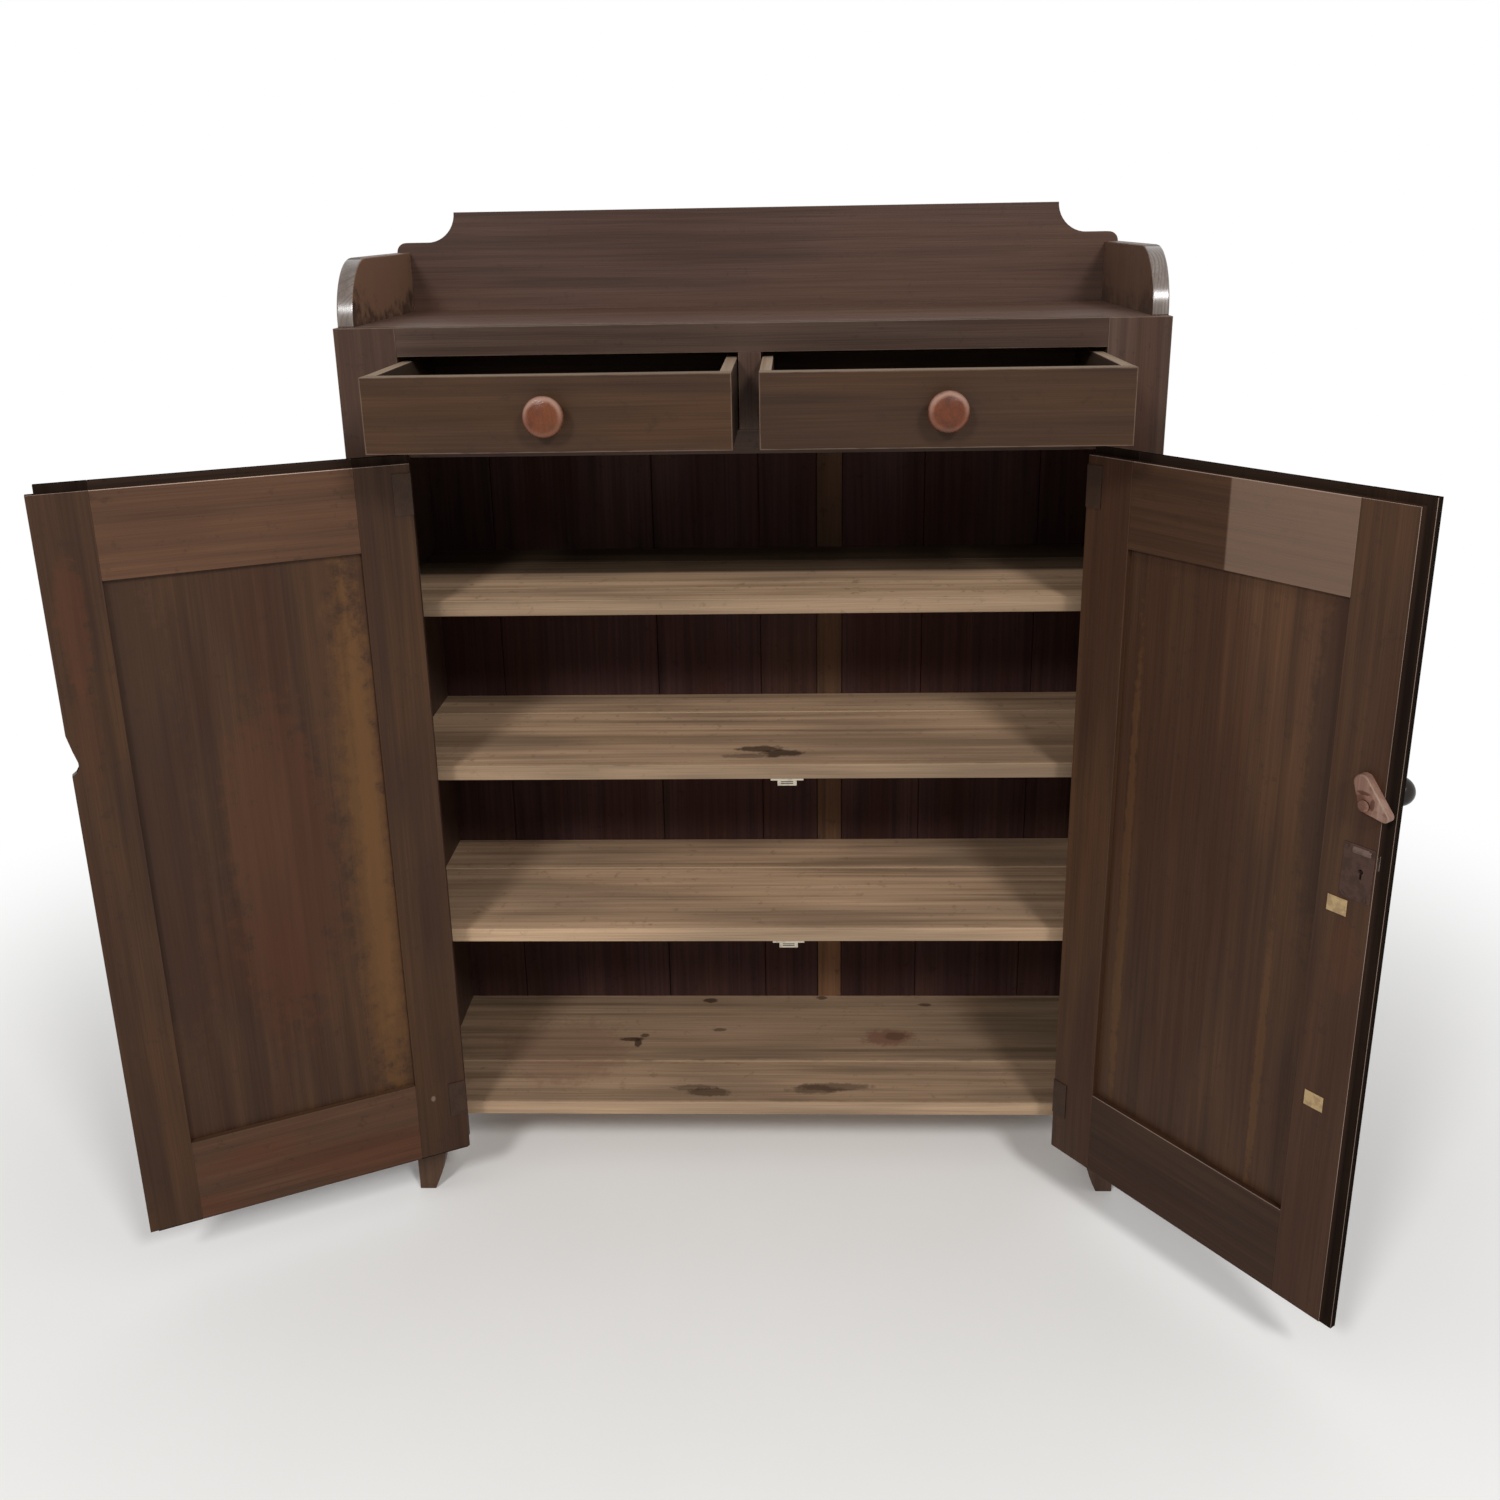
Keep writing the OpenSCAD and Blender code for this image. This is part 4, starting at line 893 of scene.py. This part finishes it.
class SIDEBOARD_OT_shelves(SideboardOperator, bpy.types.Operator):
    """Dresses the shelf boards and the drawers' runners"""

    bl_idname = "sideboard.shelves"
    bl_label = "Shelves and runners"

    def execute(self, context):
        width = sizes().shelf_ease
        nose = [("shelf_nose", lambda place, normal: normal.y < -0.8)]
        for level in SHELF_LEVELS:
            board(level + "_shelf_front", "case", "aged_shelf", "X", width, others=nose)
            board(level + "_shelf_rear", "case", "aged_shelf", "X", width)
        for node in ("runner_left", "runner_centre", "runner_right", "drawer_kickers"):
            board(node, "case", "bare_softwood", "Y", sizes().drawer_ease)
        return {"FINISHED"}


class SIDEBOARD_OT_drawers(SideboardOperator, bpy.types.Operator):
    """Dresses both drawers and their turned knobs"""

    bl_idname = "sideboard.drawers"
    bl_label = "Drawers"

    def execute(self, context):
        width = sizes().drawer_ease
        tops = [("bare_softwood", lambda place, normal: normal.z > 0.8)]
        for body in DRAWERS:
            board(body + "_front", body, "stained_drawer_front", "X", width, others=tops)
            for part, grain in (("_outer_side", "Y"), ("_inner_side", "Y"), ("_back", "X")):
                board(body + part, body, "drawer_wood", grain, width, others=tops)
            board(body + "_bottom", body, "drawer_wood", "X")
        for body in DRAWERS:
            board(body + "_knob", body, "knob_wood", "Y")
        return {"FINISHED"}


def door_edges(top, free):
    """Tests for a door's dark top and free edge, both rebated, and for the bare arrises beside them."""
    # The free edge from the hinge axis, the rebate in the top, and the inner half of the thickness
    edge_x, low_top, inner = 0.45, top - 0.016, 0.02

    # Dirt and painted shade on the top, the free edge and the rebates' inward faces
    def darkened(place, normal):
        by_top = place.z > low_top and normal.z > 0.8
        by_edge = abs(place.x) > edge_x and normal.x * free > 0.8
        return by_top or by_edge or (normal.y > 0.8 and place.y < inner)

    def rubbed(place, normal):
        by_top = normal.z > 0.3 and place.z > low_top and place.y > inner
        by_edge = free < 0 and normal.x < -0.3 and place.x < -edge_x
        return normal.y > 0.3 and (by_top or by_edge)

    return [("dirty_edge", darkened), ("bare_arris", rubbed)]


class SIDEBOARD_OT_doors(SideboardOperator, bpy.types.Operator):
    """Dresses both doors"""

    bl_idname = "sideboard.doors"
    bl_label = "Doors"

    def execute(self, context):
        width = sizes().door_ease
        for body, frame_of, free in DOORS:
            edges = door_edges(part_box(body + "_top_rail")[1].z, free)
            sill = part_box(body + "_bottom_rail")[1].z - 0.004
            lip = [("bare_arris", lambda place, normal: normal.z > 0.3 and normal.y > 0.3 and place.z > sill)]
            # The left door's worn hollow leaves a strip too narrow for a full arris
            narrow = width / 2 if free > 0 else width
            for part, grain, arris, others in (
                    ("_hinge_stile", "Z", width, edges), ("_meeting_stile", "Z", narrow, edges),
                    ("_top_rail", "X", width, edges), ("_bottom_rail", "X", width, lip if free < 0 else [])):
                board(body + part, body, "stained_door", grain, arris, frame_of, others)
            board(body + "_panel", body, "stained_panel", "Z", 0, frame_of)
        return {"FINISHED"}


class SIDEBOARD_OT_hinges(SideboardOperator, bpy.types.Operator):
    """Gives hinges, pins and screws their finish"""

    bl_idname = "sideboard.hinges"
    bl_label = "Hinges"

    def execute(self, context):
        for node in ("left_frame_leaves", "right_frame_leaves", "frame_hinge_screws", "left_door_screws",
                     "right_door_screws", "hinge_pins"):
            paint(node, "painted_iron")
        clear_of_pin = 0.02
        for body, frame_of, free in DOORS:
            bare = [("bolt_steel", lambda place, normal: normal.x * free > 0.5
                     and abs(place.x) > clear_of_pin)]
            plate(body + "_leaves", body, "painted_iron", 0, frame_of, bare)
        return {"FINISHED"}


def add_rib(low, high):
    """Low rib on the upper part of the lock case, a bar let in for most of its thickness, rubbed and with a
    painted highlight.
    """
    bm = bmesh.new()
    size, thick = high - low, sizes().rib_thickness
    bmesh.ops.create_cone(bm, cap_ends=True, segments=24, radius1=thick / 2, radius2=thick / 2,
                          depth=size.x * 0.62)
    rims = [edge for edge in bm.edges if any(len(face.verts) > 4 for face in edge.link_faces)]
    round_edges(bm, rims, thick * 0.3, 3)
    share, sunk, below_top, flattened = 0.42, 0.0004, 0.007, 0.35
    middle = Vector((low.x + size.x * share, high.y - sunk, high.z - below_top))
    bmesh.ops.transform(bm, verts=bm.verts, matrix=RIGHT_DOOR @ Matrix.Translation(middle)
                        @ Matrix.Diagonal((1, flattened, 1, 1)) @ Matrix.Rotation(math.pi / 2, 4, "Y"))
    smooth_by_angle(bm, RIB_SMOOTH_UP_TO)
    add_piece("lock_rib", mesh_of(bm, "lock_rib"), "right_door", ["rubbed_lock"])


def pointer_facets():
    """Test for the edges round the front of the latch's pointer, clear of its spindle."""
    back = RIGHT_DOOR.inverted()
    face = local_box("latch_pointer", RIGHT_DOOR)[1].y - 0.0005
    spindle = sum(local_box("latch_knob", RIGHT_DOOR), Vector()) / 2
    spindle_clear = 0.0085

    def on_facet(vertex):
        place = back @ vertex.co
        return place.y > face and math.hypot(place.x - spindle.x, place.z - spindle.z) > spindle_clear

    return lambda edge: all(on_facet(vertex) for vertex in edge.verts)


class SIDEBOARD_OT_latch(SideboardOperator, bpy.types.Operator):
    """Dresses the turn latch and the lock"""

    bl_idname = "sideboard.latch"
    bl_label = "Latch and lock"

    def execute(self, context):
        door_face = 0.026
        board("latch_knob", "latch", "latch_wood", "Y", 0, RIGHT_DOOR,
              [("latch_wood", lambda place, normal: place.y > door_face)], "latch_knob_wood")
        # Pale finish on the pointer's facets that face its free side: wear with a painted highlight
        painted_highlight_facet = [("bare_arris", lambda place, normal: normal.x < -0.15 and 0.2 < normal.y < 0.95)]
        board("latch_pointer", "latch", "latch_wood", "Z", sizes().pointer_ease, RIGHT_DOOR, painted_highlight_facet,
              segments=3, shortest=0, clear=0, chosen=pointer_facets())
        plate("lock_case", "right_door", "painted_lock", sizes().metal_ease)
        plate("lock_bolt", "lock_bolt", "bolt_steel", sizes().metal_ease)
        low, high = local_box("lock_case", RIGHT_DOOR)
        rim = sizes().screw_radius * 1.5
        spots = [(x, z) for z in (low.z + rim, high.z - rim) for x in (low.x + rim, high.x - rim)]
        heads = [RIGHT_DOOR @ Matrix.Translation((x, high.y, z)) @ FACING_IN @ Matrix.Rotation(turn, 4, "Z")
                 for turn, (x, z) in enumerate(spots)]
        add_copies("lock_screws", screw_head(), heads, "right_door", "painted_lock")
        add_rib(low, high)
        return {"FINISHED"}


class SIDEBOARD_OT_catches(SideboardOperator, bpy.types.Operator):
    """Dresses the magnetic catches and their strike plates, and shows the catches' steel poles"""

    bl_idname = "sideboard.catches"
    bl_label = "Catches"

    def execute(self, context):
        plate("magnetic_catches", "case", "off_white_plastic", sizes().metal_ease)
        plate("strike_plates", "right_door", "plate_brass", sizes().metal_ease / 2)
        pole, pole_heights = Matrix.Diagonal((0.018, 0.0003, 0.0014, 1)), (0.32, 0.58)
        bm = bmesh.new()
        for low, high in solid_boxes("magnetic_catches"):
            for share in pole_heights:
                middle = Vector(((low.x + high.x) / 2, low.y, low.z + (high.z - low.z) * share))
                bmesh.ops.create_cube(bm, size=1, matrix=Matrix.Translation(middle) @ pole)
        add_piece("catch_poles", mesh_of(bm, "catch_poles"), "case", ["bolt_steel"])
        return {"FINISHED"}


# Camera, from the photograph's vanishing lines: metres from the case's front, degrees, millimetres
CAMERA_PLACE = Vector((0.0598, -1.92895, 1.48361))
CAMERA_YAW, CAMERA_PITCH, CAMERA_ROLL = 1.97, 17.74, -1.01
CAMERA_LENS, CAMERA_SHIFT = 34.51, -0.052


def camera_turn():
    """Camera axes: turned about the vertical, tipped down, then rolled."""
    return (Matrix.Rotation(math.radians(CAMERA_YAW), 4, "Z")
            @ Matrix.Rotation(math.radians(90 - CAMERA_PITCH), 4, "X")
            @ Matrix.Rotation(math.radians(CAMERA_ROLL), 4, "Z"))


# Light of the world on the object, and the lamps: side and height in degrees as seen from the
# object's middle, distance and size in metres, and power in watts
SKY_LIGHT = 0.46
LAMPS = (("key", -21, 32, 4.6, 0.8, 80), ("fill", 24, 34, 4.6, 0.8, 84))
LAMPS_AIM = Vector((0, 0, 0.8))
# Half the floor's width, and where it starts to fade and has faded, in metres
FLOOR_REACH = 14
FLOOR_FADE = (0.9, 2.3)
BLACK, WHITE = (0, 0, 0), (1, 1, 1)


def add_lamp(name, azimuth, elevation, distance, size, power):
    side, rise = math.radians(azimuth), math.radians(elevation)
    away = Vector((math.sin(side) * math.cos(rise), -math.cos(side) * math.cos(rise), math.sin(rise)))
    lamp = bpy.data.lights.new(name, "AREA")
    lamp.shape = "DISK"
    lamp.size = size
    lamp.energy = power
    holder = put(name, lamp)
    holder.location = ORIGIN + LAMPS_AIM + away * distance
    holder.rotation_euler = away.to_track_quat("Z", "Y").to_euler()


def seen_directly(web):
    """1 for what the camera sees straight, in a mirror or through glass."""
    path = web.add("ShaderNodeLightPath").outputs
    seen = web.math("MAXIMUM", path["Is Camera Ray"], path["Is Glossy Ray"])
    return web.math("MAXIMUM", seen, path["Is Transmission Ray"])


def floor_material():
    """Pale floor that fades into the white background away from the object."""
    material, web, skin = new_material("floor")
    where = web.add("ShaderNodeTexCoord").outputs["Object"]
    mottle = web.noise(where, 3, detail=3)
    fade = web.span(web.vector("LENGTH", where), *FLOOR_FADE)
    seen = web.times(fade, seen_directly(web))
    pale = web.mix(mottle, rgb("f6f5f3"), rgb("fbfaf8"))
    web.feed_named(skin, Base_Color=web.mix(seen, pale, BLACK), Emission_Color=web.mix(seen, BLACK, WHITE),
                   Emission_Strength=1, Roughness=0.9, Specular_IOR_Level=0)
    return material


class SIDEBOARD_OT_stage(SideboardOperator, bpy.types.Operator):
    """Makes the floor, the lamps, the world and the camera"""

    bl_idname = "sideboard.stage"
    bl_label = "Stage"

    def execute(self, context):
        scene = context.scene
        scene.view_settings.view_transform = "Standard"
        bm = bmesh.new()
        bmesh.ops.create_grid(bm, x_segments=1, y_segments=1, size=FLOOR_REACH)
        floor = put("floor", mesh_of(bm, "floor"))
        floor.data.materials.append(floor_material())

        world = scene.world or bpy.data.worlds.new("studio")
        scene.world = world
        world.use_nodes = True
        web = Web(world.node_tree)
        sky = world.node_tree.nodes["Background"].inputs
        bright = web.span(seen_directly(web), 0, 1, SKY_LIGHT, 1, smooth=False)
        web.feed_named(sky, Color=WHITE, Strength=bright)

        for lamp in LAMPS:
            add_lamp(*lamp)

        camera = put("camera", bpy.data.cameras.new("camera"))
        camera.matrix_world = Matrix.Translation(ORIGIN + CAMERA_PLACE) @ camera_turn()
        camera.data.lens = CAMERA_LENS
        camera.data.shift_y = CAMERA_SHIFT
        scene.camera = camera
        return {"FINISHED"}


OPERATORS = (SIDEBOARD_OT_groups, SIDEBOARD_OT_stage, SIDEBOARD_OT_case, SIDEBOARD_OT_back,
             SIDEBOARD_OT_shelves, SIDEBOARD_OT_drawers, SIDEBOARD_OT_doors, SIDEBOARD_OT_hinges,
             SIDEBOARD_OT_latch, SIDEBOARD_OT_catches)


class SIDEBOARD_PT_panel(bpy.types.Panel):
    """Lists the steps and their settings"""

    bl_idname = "SIDEBOARD_PT_panel"
    bl_label = "Sideboard"
    bl_space_type = "VIEW_3D"
    bl_region_type = "UI"
    bl_category = "Sideboard"

    def draw(self, context):
        for operator in OPERATORS:
            self.layout.operator(operator.bl_idname)
        for group in (sizes(), colours()):
            for name in group.__annotations__:
                self.layout.prop(group, name)


CLASSES = (SideboardSizes, SideboardColours, *OPERATORS, SIDEBOARD_PT_panel)


def register():
    for cls in CLASSES:
        bpy.utils.register_class(cls)
    bpy.types.Scene.sideboard_sizes = bpy.props.PointerProperty(type=SideboardSizes)
    bpy.types.Scene.sideboard_colours = bpy.props.PointerProperty(type=SideboardColours)


def unregister():
    del bpy.types.Scene.sideboard_sizes
    del bpy.types.Scene.sideboard_colours
    for cls in reversed(CLASSES):
        bpy.utils.unregister_class(cls)


def main():
    register()
    for operator in OPERATORS:
        step = operator.bl_idname.split(".")[1]
        getattr(bpy.ops.sideboard, step)()


if __name__ == "__main__":
    main()
